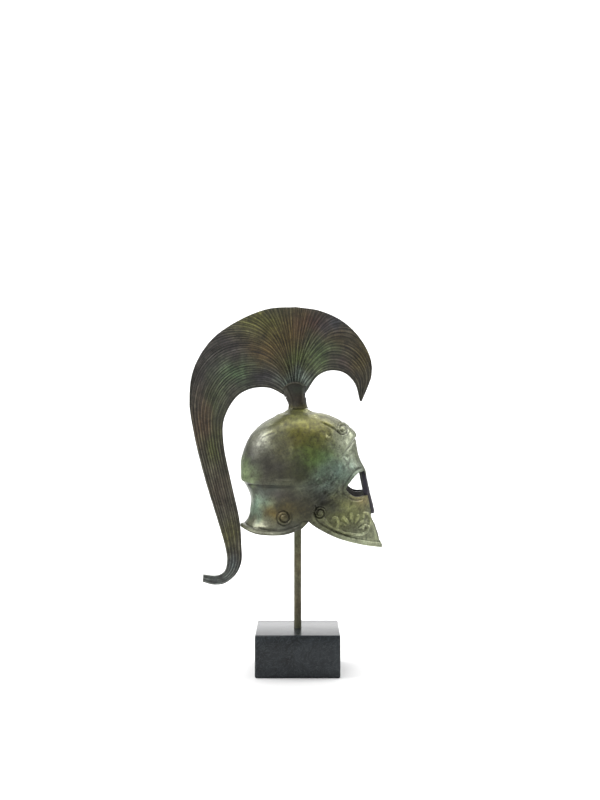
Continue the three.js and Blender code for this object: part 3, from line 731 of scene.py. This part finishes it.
def inside_outline(points, outline):
    """Which points lie inside a closed outline of the side view."""
    x, z = points[:, 0], points[:, 2]
    crossings = np.zeros(len(points), int)
    for (x0, z0), (x1, z1) in zip(outline, np.roll(outline, -1, axis=0)):
        if z0 != z1:
            crossings += ((z0 > z) != (z1 > z)) & (x < x0 + (z - z0) * (x1 - x0) / (z1 - z0))
    return crossings % 2 == 1


def round_nasal_tip(points):
    """Rounds the lower end of the nasal bar in the side view."""
    x, y, z = points.T
    radius = 1.7 * MM
    tip = RIM_Z + NASAL_TIP_LEVEL * HELMET_HEIGHT
    line = helmet_points(np.linspace(0.05, 0.2, 40), [0.0], 0)[:, 0]
    front = np.interp(z, line[:, 2], line[:, 0])
    bar = (np.abs(y) < NASAL_WIDTH / 2) & (z < tip + radius) & (x > front - NASAL_THICKNESS - MM)
    down = np.clip((tip + radius - z) / radius, 0, 1)
    inset = radius * (1 - np.sqrt(1 - down**2))
    depth = inset + (front - x) * (1 - 1.5 * inset / NASAL_THICKNESS)
    return np.stack([np.where(bar, front - depth, x), y, z], 1)


def spaced(total, low, high, dense_from, dense_to, density):
    """Values from low to high that lie closer together over a stretch."""
    t = np.linspace(low, high, 2000)
    weight = 1 + (density - 1) * ((t > dense_from) & (t < dense_to))
    grown = np.concatenate([[0], np.cumsum((weight[1:] + weight[:-1]) / 2)])
    return np.interp(np.linspace(0, grown[-1], total), grown, t)


def helmet_grid(columns_half, rows, inset):
    """Rings down the helmet, with points closer together at its face and below its ridge."""
    half = spaced(columns_half + 1, 0, math.pi, *np.radians(FACE_ANGLES), FACE_DENSITY)
    angles = np.concatenate([half[:-1], 2 * math.pi - half[:0:-1]])
    depths = spaced(rows, -TOP_RING_LEVEL, -HELMET_SECTIONS[-1, 0], *FINE_DEPTHS, DEPTH_DENSITY)
    return helmet_points(-depths, angles, inset)


def helmet_core():
    """All that lies deeper in the wall than the thin lip along the eyes' lower edges."""
    rings = helmet_grid(*INNER_GRID, WALL - EYE_LIP_WALL)
    return skin_object("core", rings, (0, 0, CROWN_Z - WALL), (0, 0, rings[-1, :, 2].min()))


def helmet_hollow():
    """The inside of the helmet, a little uneven, carried on down through its open foot."""
    rings = helmet_grid(*INNER_GRID, WALL)
    foot = rings[-1:] - [0, 0, 3 * WALL]
    hollow = skin_object("hollow", np.concatenate([rings, foot]), (0, 0, CROWN_Z - WALL),
                         (0, 0, foot[..., 2].min()))
    points = mesh_points(hollow)
    uneven = 0.12 * MM * wobble(points, 6 * MM, 8)[:, None]
    set_points(hollow, points + uneven * mesh_points(hollow, "normal"))
    return hollow


def eye_cutters():
    """The openings outside the wall's core, then the smaller ones right through it."""
    bar = NASAL_WIDTH / 2
    cutters = []
    for shares, is_outer in ((EYE_BACK, True), (EYE_INNER, False)):
        for low_y, high_y in ((-FAR, -bar), (bar, FAR)):
            eye = side_prism("eye", eye_opening(shares)[::-1], low_y, high_y)
            if is_outer:
                carve(eye, [helmet_core()])
            cutters.append(eye)
    return cutters


def face_cutters():
    """The gap between the cheek pieces round the nasal bar, and the space behind the bar."""
    top = side_place(*EYE_INNER[0])[1]
    tip = RIM_Z + NASAL_TIP_LEVEL * HELMET_HEIGHT
    gap, bar, bar_tip = FACE_GAP / 2, NASAL_WIDTH / 2, NASAL_TIP_WIDTH / 2
    behind_face = 0.7 * HALF_LENGTH
    turns = np.linspace(math.pi, 0, 9)
    rounded_tip = [(-bar_tip * math.cos(a), tip + bar_tip * (1 - math.sin(a))) for a in turns]
    outline = [(gap, top), (bar, top), *rounded_tip, (-bar, top), (-gap, top), (-gap, 0), (gap, 0)]
    front = helmet_points([0.48, 0.36, 0.265, 0.18, 0.045], [0.0], 0)[:, 0]
    back = [(x - NASAL_THICKNESS, z) for x, _, z in front]
    behind = [(behind_face, z) for _, z in back]
    return [front_prism("face", outline, behind_face, FAR),
            side_prism("bar_back", back[::-1] + behind, -gap, gap)]


def foot_cutter():
    """All below the side-view line of the guard and the cheek pieces."""
    guard, cheek = lower_edge()
    guard = guard + [0, 0.12 * MM]
    outline = [(-FAR, guard[0][1]), *guard, *cheek, (FAR, cheek[-1][1]), (FAR, 0), (-FAR, 0)]
    return side_prism("lower", outline[::-1], -FAR, FAR)


HELMET_BASE = (92, 94, 72)
# Patches: forward, up, reach along, reach up in millimetres, strength, display colour
HELMET_PATCHES = [
    # Painted highlight: this first patch paints the light falling on the bowl's upper left
    (-22, 139, 8, 9, 0.8, (152, 154, 138)),
    (-32, 120, 6, 10, 0.9, (150, 172, 122)),
    (-28, 131, 5, 9, 0.7, (70, 66, 72)),
    (-14, 124, 12, 10, 0.85, (62, 58, 62)),
    (2, 146, 14, 11, 0.95, (108, 105, 44)),
    (2, 153, 9, 4, 0.75, (112, 114, 62)),
    (4, 135, 14, 8, 0.85, (80, 72, 34)),
    (15, 144, 9, 10, 0.85, (128, 124, 62)),
    (13, 129, 13, 8, 0.85, (106, 134, 72)),
    (-2, 122, 13, 9, 0.85, (54, 54, 30)),
    (29, 137, 9, 9, 0.85, (164, 170, 146)),
    (24, 121, 11, 8, 0.85, (122, 144, 132)),
    (16, 112, 12, 7, 0.75, (80, 98, 90)),
    (-20, 110, 13, 4, 0.85, (64, 70, 62)),
    (-10, 106, 12, 4, 0.8, (62, 58, 60)),
    (8, 100, 13, 8, 0.8, (58, 56, 48)),
    (-23, 99, 7, 7, 0.85, (132, 160, 140)),
    (-13, 96, 7, 5, 0.85, (122, 104, 54)),
    (-3, 99, 8, 7, 0.85, (70, 62, 34)),
    (-20, 89, 8, 4, 0.8, (128, 128, 106)),
    (-4, 87, 10, 4, 0.7, (76, 78, 70)),
    (-14, 82, 20, 3, 0.7, (136, 136, 124)),
    (30, 95, 14, 10, 0.85, (156, 160, 106)),
    (14, 105, 8, 7, 0.92, (28, 30, 26)),
    (21, 99, 6, 5, 0.7, (42, 42, 38)),
    (38, 103, 6, 5, 0.5, (150, 130, 84)),
    (40, 80, 14, 6, 0.75, (176, 182, 150)),
    (46, 84, 6, 10, 0.85, (192, 198, 160)),
]


def inside_share(points):
    """1 on the hollow's wall, 0 on the outside."""
    x, y, z = points.T
    level = np.clip((z - RIM_Z) / HELMET_HEIGHT, -0.2, 0.995)
    rows = hermite_rows(HELMET_SECTIONS, level)
    reach = np.where(x > 0, rows[:, 2], rows[:, 1]) * HALF_LENGTH
    power = np.where(x > 0, rows[:, 4], 2.0)
    aside = np.clip(np.abs(y) / np.maximum(rows[:, 3] * HALF_WIDTH, MM), 0, 1.2) ** power
    ahead = (np.abs(x) / np.maximum(reach, MM)) ** 2
    return smooth(0.93, 0.86, aside + ahead) * (level < 0.97)


def colour_helmet(obj):
    points = mesh_points(obj)
    x, y, z = points.T
    inner = inside_share(points)
    colours = patchwork(points, HELMET_BASE, HELMET_PATCHES, 11, 2.2 * MM)
    colours = tinted(colours, inner, srgb(58, 54, 42))
    # Painted shade: the inside below the eyes and the eyes' lower edges are painted nearly black
    shade_below_eye = smooth(5 * MM, 2.5 * MM, to_line(x, z, eye_foot(1.3), EYE_STEPS))
    shade_at_eye_edge = smooth(0.3 * MM, 0.08 * MM, to_line(x, z, eye_foot(1.24), EYE_STEPS))
    shade = (1 - 0.95 * inner * shade_below_eye) * (1 - 0.95 * shade_at_eye_edge * (1 - inner))
    colours *= shade[:, None]
    # Painted shade: all within the eye openings is painted nearly black
    painted_eye_shade = inside_outline(points, eye_opening(EYE_BACK)) & (np.abs(y) > NASAL_WIDTH / 2)
    colours[painted_eye_shade] = srgb(22, 19, 18)
    # Mottling, specks, painted shade darkening the grooves and creases, and pale raised lines
    shade = 1 + 0.16 * (wobble(points, 6 * MM, 71) + wobble(points, 2.4 * MM, 72))
    specks = smooth(0.25, 0.9, wobble(points, 1.5 * MM, 73))
    specks -= smooth(0.2, 0.8, wobble(points, 1.9 * MM, 74))
    shade *= 1 + 0.55 * corroded(points) * specks
    relief = np.clip(side_relief(points) / (0.5 * MM), -1, 1)
    shade *= 1 + np.where(relief < 0, 0.62, 0.22) * relief
    shade *= 1 - 0.8 * slash_depth(points)
    colours *= shade[:, None]
    # The dark nasal bar and the pale band along the cheek's lower edge
    bar = smooth(3.9 * MM, 3.4 * MM, np.abs(y)) * smooth(35 * MM, 37 * MM, x)
    bar *= smooth(92 * MM, 93 * MM, z) * smooth(120 * MM, 115 * MM, z)
    colours = tinted(colours, 0.9 * bar, srgb(58, 54, 68))
    band = smooth(2.7 * MM, 2.4 * MM, line_distance(x, z, lower_edge()[1]))
    band *= smooth(0.6, 0.7, x / HALF_LENGTH) * (1 - inner)
    paint(obj, "patina", tinted(colours, 0.6 * band, srgb(146, 152, 124)))


def make_helmet():
    rings = helmet_grid(*OUTER_GRID, 0.0)
    outer = skin_object("helmet", rings, (0, 0, CROWN_Z), (0, 0, rings[-1, :, 2].min()))
    points, normals = mesh_points(outer), mesh_points(outer, "normal")
    lift = side_relief(points) + wear_relief(points)
    # The centres of the two caps stay where they are
    lift[-2:] = 0
    points = points + normals * lift[:, None]
    points[:, 1] = np.clip(points[:, 1] * RELIEF_ROOM, -HALF_WIDTH, HALF_WIDTH)
    set_points(outer, crown_fillet(points))
    carve(outer, [helmet_hollow(), foot_cutter(), *eye_cutters(), *face_cutters()])
    points = round_nasal_tip(mesh_points(outer))
    points[:, 0] = np.clip(points[:, 0], SHELL_LOW[0], SHELL_HIGH[0])
    set_points(outer, points)
    colour_helmet(outer)
    finish_mesh(outer, patina_material("helmet_patina", 0.45, (0.3, 0.48), srgb(48, 46, 38)))
    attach(outer, "root")
    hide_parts("helmet_shell")


# The crest holder

PANEL_FRONT = [(0.36, 0.86), (0.30, 0.5), (0.32, 0.25), (0.40, 0.08)]
PANEL_BACK = [(-0.62, 0.80), (-0.42, 0.5), (-0.30, 0.25), (-0.32, 0.08)]
# Columns as in HELMET_PATCHES
HOLDER_PATCHES = [
    (0, HOLDER_Z / MM + 6, 4, 4, 0.6, (74, 62, 44)),
    (0, HOLDER_Z / MM + 12, 5, 3, 0.5, (62, 74, 60)),
    # Painted shade: a dark strip down the holder's front side
    (5, HOLDER_Z / MM + 9, 2, 9, 0.7, (52, 54, 62)),
    (0, HOLDER_Z / MM, 9, 2.2, 0.8, (104, 100, 54)),
]


def holder_line(shares, per_span=8):
    return rounded([(fx * HOLDER_LENGTH, HOLDER_Z + height * HOLDER_HEIGHT)
                    for fx, height in shares], per_span)


def holder_relief(x, z):
    """The raised lip and the frame of the sunk panel below it."""
    lip = holder_line(LIP_LINE) - [0, 0.5 * MM]
    height = 0.7 * MM * bead(line_distance(x, z, lip), 1.5 * MM)
    height += 0.4 * MM * bead(line_distance(x, z, holder_line(PANEL_FRONT)), 1.5 * MM)
    height += 0.25 * MM * bead(line_distance(x, z, holder_line(PANEL_BACK)), 1.4 * MM)
    inside = smooth(-0.62, -0.45, x / HOLDER_LENGTH) * smooth(0.30, 0.18, x / HOLDER_LENGTH)
    return height - 0.3 * MM * inside * smooth(0.05, 0.3, (z - HOLDER_Z) / HOLDER_HEIGHT)


def holder_rings():
    heights = np.linspace(HOLDER_SECTIONS[0, 0], 0, 90)
    rows = hermite_rows(HOLDER_SECTIONS, heights)
    angles = np.linspace(0, 2 * math.pi, 160, endpoint=False)
    ahead, aside = np.cos(angles)[None, :], np.sin(angles)[None, :]
    reach = np.where(ahead > 0, rows[:, 2:3], rows[:, 1:2]) * HOLDER_LENGTH
    power = 2 / rows[:, 4:5]
    x = reach * bulged(ahead, power)
    y = rows[:, 3:4] * HOLDER_WIDTH * bulged(aside, power)
    z = np.broadcast_to(HOLDER_Z + heights[:, None] * HOLDER_HEIGHT, x.shape)
    return np.stack([x, y, z], -1)


def holder_cutters():
    """All above the lip's line, and the pocket for the crest's tang."""
    lip = holder_line(LIP_LINE)
    above = [(-FAR, lip[0][1]), *lip, (FAR, lip[-1][1]), (FAR, 2 * FAR), (-FAR, 2 * FAR)]
    slot_half = CREST_THICKNESS / 2 + 0.1 * MM
    slot = [(-slot_half, SLOT_FLOOR), (slot_half, SLOT_FLOOR), (slot_half, 2 * FAR),
            (-slot_half, 2 * FAR)]
    return [side_prism("above", above, -FAR, FAR), front_prism("slot", slot, -FAR, FAR)]


def make_holder():
    rings = holder_rings()
    holder = skin_object("holder", rings, (0, 0, rings[0, 0, 2]), (0, 0, HOLDER_Z))
    points, normals = mesh_points(holder), mesh_points(holder, "normal")
    # Top and foot stay flat
    upright = np.abs(normals[:, 2]) <= 0.8
    lift = holder_relief(points[:, 0], points[:, 2]) * smooth(0.3, 0.7, np.abs(normals[:, 1]))
    lift = (lift + 0.05 * MM * wobble(points, 3 * MM, 21)) * upright
    set_points(holder, points + normals * lift[:, None])
    carve(holder, holder_cutters())
    points = mesh_points(holder)
    colours = patchwork(points, (60, 58, 50), HOLDER_PATCHES, 31, 0.8 * MM)
    # Painted shade in the sunk panel, and a painted highlight on the raised lip and panel frame
    relief = np.clip(holder_relief(points[:, 0], points[:, 2]) / (0.45 * MM), -1, 1)[:, None]
    paint(holder, "patina", colours * (1 + np.where(relief > 0, 0.9, 0.5) * relief))
    finish_mesh(holder, patina_material("holder_patina", 0.45, (0.32, 0.5), srgb(40, 38, 32)))
    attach(holder, "root")
    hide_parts("crest_holder")


# The crest


def crest_place(forward, level):
    """A place of the crest. Forward is -2 at its back, -1 at the guard's rim, 0 over the rod and
    1 at its front; level is -1 at the tail's foot, 0 at the rim, 1 at its root, 2 at its top.
    """
    rim = helmet_points([0.0], [math.pi], WALL / 2)[0, 0, 0] - RIM_BEAD - CLEARANCE
    x = np.interp(forward, [-2, -1, 0, 1], [-CREST_REAR, rim, 0, CREST_FRONT])
    z = np.interp(level, [-1, 0, 1, 2], [TAIL_FOOT, RIM_Z + RIM_BEAD, CREST_ROOT, CREST_TOP])
    return x, z


def crest_edges(table):
    """The curves of the inner and of the outer edge."""
    columns = np.transpose(table)
    return [rounded(np.stack(crest_place(*pair), 1), EDGE_STEPS)
            for pair in (columns[:2], columns[2:])]


def strand_reach(place):
    """How far across the fan a strand has got at a place along it, at first fast."""
    def grown(at):
        return 1 - np.exp(-np.minimum(at, FAN_SECTIONS) / STRAND_BEND)
    return grown(place) / grown(FAN_SECTIONS)


def between_edges(edges, sections, place, across, start):
    """Points at places along the sections, each a share of the way across."""
    root = edges[0][0]
    keys = np.linspace(0, sections - 1, len(edges[0]))
    low, high = (np.stack([np.interp(place, keys, edge[:, i]) for i in (0, 1)], 1)
                 for edge in edges)
    points = low + (high - low) * across[:, None]
    away = np.hypot(*(points - root).T)
    points[:, 0] += (start - root[0]) * np.exp(-away / TANG_FADE)
    return points


def edge_ends(edge_density, tip_count):
    """Where the edge strands end: evenly along the edge, then as dense as the tip strands."""
    place = np.linspace(0.01, FAN_SECTIONS, 800)
    reach = strand_reach(place)
    tip_density = tip_count * np.gradient(reach, place) / reach**2
    density = np.minimum(edge_density, tip_density)
    grown = np.concatenate([[0], np.cumsum((density[1:] + density[:-1]) / 2 * np.diff(place))])
    ends = np.interp(np.linspace(0, grown[-1], int(grown[-1]) + 1)[:-1], grown, place)
    ends[0] = 0
    return ends


def side_strands(table, tang_top, tang_end, edge_density, tip_count, tail_steps):
    """The strands of one side, from the top of the fan to the inner edge."""
    edges = crest_edges(table)
    last = len(table) - 1
    strands = []
    ends = edge_ends(edge_density, tip_count)
    edge_count = len(ends)
    total = edge_count + tip_count
    for i in range(total + 1):
        on_edge = i < edge_count
        end = ends[i] if on_edge else FAN_SECTIONS
        place = np.linspace(0, end, FAN_STEPS + 1)
        if i == 0:
            across = np.linspace(0, 1, FAN_STEPS + 1)
        else:
            spread = 1 / strand_reach(end) if on_edge else 1 - (i - edge_count) / tip_count
            across = np.minimum(1, spread * strand_reach(place))
        if not on_edge and last > FAN_SECTIONS:
            tail = np.linspace(FAN_SECTIONS, last, tail_steps + 1)[1:]
            place = np.concatenate([place, tail])
            across = np.concatenate([across, np.full(len(tail), spread)])
        start = (tang_top + (tang_end - tang_top) * i / total) * HOLDER_LENGTH
        strands.append(between_edges(edges, last + 1, place, across, start))
    return strands


def crest_strands():
    """All strands in order, from the front inner edge over the top to the rear inner edge."""
    top = TANG_FRONT + (TANG_REAR - TANG_FRONT) * 0.4
    rear = side_strands(REAR_CREST, top, TANG_REAR, edge_density=56, tip_count=80, tail_steps=72)
    front = side_strands(FRONT_CREST, top, TANG_FRONT, edge_density=44, tip_count=44, tail_steps=0)
    return front[::-1] + rear[1:]


def crest_outline(strands):
    """The grid places around the crest, as strand and step."""
    last = len(strands) - 1
    end = [len(strand) - 1 for strand in strands]
    outline = [(column, 0) for column in range(last + 1)]
    outline += [(last, row) for row in range(1, end[last] + 1)]
    for column in range(last - 1, -1, -1):
        outline += [(column + 1, row) for row in range(end[column + 1] - 1, end[column] - 1, -1)]
        outline.append((column, end[column]))
    outline += [(0, row) for row in range(end[0] - 1, 0, -1)]
    return outline


def strand_furrows(strands):
    """0 on top of a lock to 1 in the furrow beside it; locks fork where they spread."""
    furrows = []
    for column, strand in enumerate(strands):
        other = strands[column + 1] if column + 1 < len(strands) else strands[column - 1]
        rows = min(len(strand), len(other))
        along = np.gradient(strand[:rows], axis=0)
        along /= np.maximum(np.linalg.norm(along, axis=1), 1e-9)[:, None]
        apart = other[:rows] - strand[:rows]
        spacing = np.abs(apart[:, 0] * along[:, 1] - apart[:, 1] * along[:, 0])
        spacing = np.concatenate([spacing, np.full(len(strand) - rows, spacing[-1])])
        octave = np.clip(np.log2(LOCK_PITCH / np.maximum(spacing, 0.01 * MM)), 1, 5.99)
        whole = np.floor(octave)
        part = octave - whole
        wave = ((1 - part) * np.cos(2 * math.pi * column / 2**whole)
                + part * np.cos(2 * math.pi * column / 2 ** (whole + 1)))
        furrows.append((0.5 - 0.5 * wave) ** 1.6)
    return furrows


def crest_half_thickness(strands, outline, furrows):
    """Half the crest's thickness at each grid place: thick at the root, thin at the edge."""
    edge_points = np.array([strands[c][r] for c, r in outline if r > 0])
    root_x, root_z = crest_place(*REAR_CREST[0][:2])
    halves = []
    for column, strand in enumerate(strands):
        away = np.hypot(strand[:, 0] - root_x, strand[:, 1] - root_z)
        near = np.exp(-away / (CREST_TOP - CREST_ROOT))
        body = CREST_EDGE + (CREST_THICKNESS - CREST_EDGE) * (0.35 + 0.65 * near)
        gaps = np.sqrt(((strand[:, None] - edge_points[None, ::3]) ** 2).sum(-1)).min(1)
        inward = np.sqrt(1 - (1 - np.clip(gaps / EDGE_ROUNDING, 0, 1)) ** 2)
        edge = 0.45 * CREST_EDGE
        half = edge + (body / 2 - edge) * inward
        uneven = 0.75 + 0.25 * math.sin(column * 1.7)
        half -= FURROW_DEPTH * furrows[column] * uneven * inward * smooth(3 * MM, 12 * MM, away)
        tang = smooth(7.5 * MM, 5.5 * MM, away)
        halves.append(half * (1 - tang) + (CREST_THICKNESS / 2) * tang)
    return halves


def crest_faces(strands, outline):
    """The two sides of the crest, and the rim between them."""
    starts = np.cumsum([0, *[len(strand) for strand in strands]]).tolist()
    count = starts[-1]
    faces = []
    for column in range(len(strands) - 1):
        a, b = starts[column], starts[column + 1]
        for row in range(min(len(strands[column]), len(strands[column + 1])) - 1):
            quad = (a + row, a + row + 1, b + row + 1, b + row)
            faces.append(quad)
            faces.append(tuple(count + quad[corner] for corner in (0, 3, 2, 1)))
    around = [starts[column] + row for column, row in outline]
    for a, b in zip(around, around[1:] + around[:1]):
        faces.append((a, b, count + b, count + a))
    return faces


# Columns as in HELMET_PATCHES
CREST_PATCHES = [
    (-24, 209, 20, 9, 0.8, (118, 118, 62)),
    (-14, 200, 14, 10, 0.6, (112, 102, 56)),
    (-20, 190, 13, 9, 0.75, (104, 84, 50)),
    (-2, 200, 8, 16, 0.6, (112, 92, 54)),
    (10, 208, 11, 8, 0.75, (92, 62, 50)),
    (24, 208, 10, 6, 0.8, (62, 70, 84)),
    (24, 200, 8, 8, 0.5, (100, 84, 50)),
    (2, 185, 9, 9, 0.8, (100, 112, 66)),
    (13, 190, 9, 9, 0.8, (92, 110, 70)),
    (28, 184, 9, 5, 0.7, (66, 54, 56)),
    (38, 190, 7, 14, 0.7, (104, 92, 56)),
    (-38, 179, 13, 8, 0.85, (90, 112, 80)),
    (-20, 175, 11, 5, 0.8, (56, 54, 60)),
    (0, 174, 9, 5, 0.9, (132, 146, 136)),
    (-44, 197, 14, 11, 0.7, (70, 64, 68)),
    (-58, 178, 8, 16, 0.7, (64, 60, 62)),
    (-50, 162, 6, 14, 0.6, (86, 100, 66)),
    (-58, 150, 6, 16, 0.7, (112, 92, 70)),
    (-50, 132, 5, 12, 0.7, (92, 98, 54)),
    (-47, 108, 8, 14, 0.6, (84, 74, 62)),
    (-41, 81, 7, 9, 0.7, (92, 90, 52)),
    (-40, 62, 6, 6, 0.85, (104, 112, 112)),
    (-50, 55, 9, 5, 0.9, (112, 118, 116)),
]


def colour_crest(crest, furrows, along, number):
    """Patches, mottling, a painted highlight (a gleam) on each lock that comes and goes along it,
    and painted shade in the furrows between the locks.
    """
    points = mesh_points(crest)
    colours = patchwork(points, (80, 78, 68), CREST_PATCHES, 51, 2.5 * MM)
    tail = smooth(150 * MM, 120 * MM, points[:, 2]) * smooth(-25 * MM, -35 * MM, points[:, 0])
    gleam = 0.8 + 0.35 * np.sin(number * 0.61) * np.sin(along * 190 + number)
    # Painted highlight on the locks' tops and painted shade in the furrows beside them
    lock = np.tile(1.6 * gleam * (1 - np.concatenate(furrows)) ** 1.5 + 0.48, 2)
    shade = (1 + 0.14 * wobble(points, 7 * MM, 52)) * (0.86 + 0.34 * tail) * lock
    paint(crest, "patina", colours * shade[:, None])


def make_crest():
    strands = crest_strands()
    outline = crest_outline(strands)
    furrows = strand_furrows(strands)
    half = np.concatenate(crest_half_thickness(strands, outline, furrows))
    flat = np.vstack(strands)
    vertices = np.vstack([np.stack([flat[:, 0], side * half, flat[:, 1]], 1)
                          for side in (-1, 1)])
    vertices[:, 1] += 0.12 * MM * wobble(vertices * [1, 0, 1], 26 * MM, 41)
    vertices = np.clip(vertices, PLUME_LOW, PLUME_HIGH)
    crest = new_object("crest", vertices, crest_faces(strands, outline))
    along = np.concatenate([np.cumsum([0, *np.hypot(*np.diff(strand, axis=0).T)])
                            for strand in strands])
    number = np.repeat(np.arange(len(strands)), [len(strand) for strand in strands])
    # Where the streaks are looked up: across and along the strands, elsewhere for each side
    strands_per_streak, along_scale, other_side = 2.4, 24, [700, 0, 0]
    streaks = np.stack([number / strands_per_streak, along * along_scale, 0 * along], 1)
    attribute = crest.data.attributes.new("strand", "FLOAT_VECTOR", "POINT")
    attribute.data.foreach_set("vector", np.vstack([streaks, streaks + other_side]).ravel())
    colour_crest(crest, furrows, along, number)
    patina = patina_material("crest_patina", 0.35, (0.4, 0.56), srgb(36, 34, 34), strands=True)
    finish_mesh(crest, patina, 50)
    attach(crest, "root")
    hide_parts("crest_plume")


# The stand

# Columns as in HELMET_PATCHES
ROD_PATCHES = [
    (0, 66, 9, 12, 0.5, (118, 108, 70)),
    (0, 40, 9, 10, 0.6, (96, 84, 60)),
    (0, 78, 9, 6, 0.6, (98, 102, 70)),
]


def make_rod():
    foot, shoulder = ROD_LOW[2], CROWN_Z - WALL - CLEARANCE
    chamfer = 0.4 * MM
    levels = np.array([*np.linspace(shoulder, foot + 2 * chamfer, 60), foot + chamfer, foot])
    radii = np.full(len(levels), ROD_RADIUS)
    radii[-1] -= chamfer
    rod = skin_object("rod", turned_rings(radii, levels, 64), (0, 0, shoulder), (0, 0, foot))
    paint(rod, "patina", patchwork(mesh_points(rod), (92, 94, 74), ROD_PATCHES, 61, 2 * MM))
    finish_mesh(rod, patina_material("rod_patina", 0.2, (0.55, 0.7), srgb(50, 42, 30)), 40)
    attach(rod, "root")
    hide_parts("stand_rod")


def make_block():
    corners = [(x, y, z) for z in (BLOCK_LOW[2], BLOCK_HIGH[2])
               for y in (BLOCK_LOW[1], BLOCK_HIGH[1]) for x in (BLOCK_LOW[0], BLOCK_HIGH[0])]
    faces = [(0, 2, 3, 1), (4, 5, 7, 6), (0, 1, 5, 4), (2, 6, 7, 3), (0, 4, 6, 2), (1, 3, 7, 5)]
    block = new_object("block", corners, faces)
    bevel = block.modifiers.new("bevel", "BEVEL")
    bevel.width = BLOCK_BEVEL
    bevel.segments = 4
    top, floor = BLOCK_HIGH[2] + MM, ROD_LOW[2] - CLEARANCE
    radius = ROD_RADIUS + CLEARANCE
    hole_rings = turned_rings([radius, radius], [top, floor], 48)
    carve(block, [skin_object("hole", hole_rings, (0, 0, top), (0, 0, floor))])
    finish_mesh(block, marble_material(), 30)
    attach(block, "root")
    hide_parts("stand_base")


# The studio


def make_stage():
    """A white sweep: a wide floor that narrows and curves up into a back wall."""
    wide, narrow = 4.0, 1.3
    near, shoulder, back, radius, top = -3.0, 0.4, 1.6, 0.6, 3.0
    curve = [(narrow, back + radius * math.sin(a), radius * (1 - math.cos(a)))
             for a in np.linspace(0, math.pi / 2, 24)]
    profile = [(wide, near, 0.0), (wide, shoulder, 0.0), *curve, (narrow, back + radius, top)]
    vertices = [(x, y, z) for half, y, z in profile for x in (-half, half)]
    faces = [(2 * i, 2 * i + 1, 2 * i + 3, 2 * i + 2) for i in range(len(profile) - 1)]
    sweep = new_object("sweep", vertices, faces)
    n = Nodes("white_sweep")
    n.feed(n.shader["Base Color"], (0.7, 0.7, 0.7))
    n.feed(n.shader["Roughness"], 0.8)
    n.feed(n.shader["Specular IOR Level"], 0.1)
    finish_mesh(sweep, n.material, 60)


def area_light(name, place, aim, size, power):
    data = bpy.data.lights.new(name, "AREA")
    data.shape = "RECTANGLE"
    data.size, data.size_y = size
    data.energy = power
    light = bpy.data.objects.new(name, data)
    bpy.context.scene.collection.objects.link(light)
    light.location = place
    direction = np.array(aim) - np.array(place)
    flat = math.hypot(direction[0], direction[1])
    light.rotation_euler = (math.atan2(flat, -direction[2]), 0,
                            math.atan2(direction[1], direction[0]) - math.pi / 2)


PART_CENTRE = (0, 0, 0.12)
# Columns: name, place, aim, size, watts
LIGHTS = [
    ("left_panel", (-0.85, 0.0, 0.75), PART_CENTRE, (0.7, 0.6), 9.3),
    ("top_panel", (0.0, 0.05, 1.2), PART_CENTRE, (1.1, 0.9), 11.5),
    ("right_panel", (0.85, 0.2, 0.65), PART_CENTRE, (0.6, 0.6), 6),
    ("front_fill", (-0.5, -1.6, 0.7), PART_CENTRE, (0.6, 0.6), 5.5),
    ("wall_light", (0, 0.9, 1.5), (0, 1.9, 0.4), (2.0, 0.8), 66),
]


def make_lights():
    for light in LIGHTS:
        area_light(*light)
    world = bpy.data.worlds.new("studio")
    world.use_nodes = True
    background = world.node_tree.nodes["Background"]
    background.inputs["Color"].default_value = (1, 1, 1, 1)
    background.inputs["Strength"].default_value = 0.2
    bpy.context.scene.world = world
    bpy.context.scene.view_settings.view_transform = "Standard"
    bpy.context.scene.view_settings.look = "None"


def make_camera():
    data = bpy.data.cameras.new("camera")
    data.sensor_width = SENSOR
    data.sensor_fit = "AUTO"
    data.lens = SENSOR * FOCAL_PIXELS / PICTURE_HEIGHT
    data.clip_start = 0.01
    camera = bpy.data.objects.new("camera", data)
    bpy.context.scene.collection.objects.link(camera)
    camera.location = CAMERA_PLACE
    camera.rotation_euler = (math.pi / 2, 0, 0)
    bpy.context.scene.camera = camera


make_camera()
make_helmet()
make_holder()
make_crest()
make_rod()
make_block()
make_stage()
make_lights()
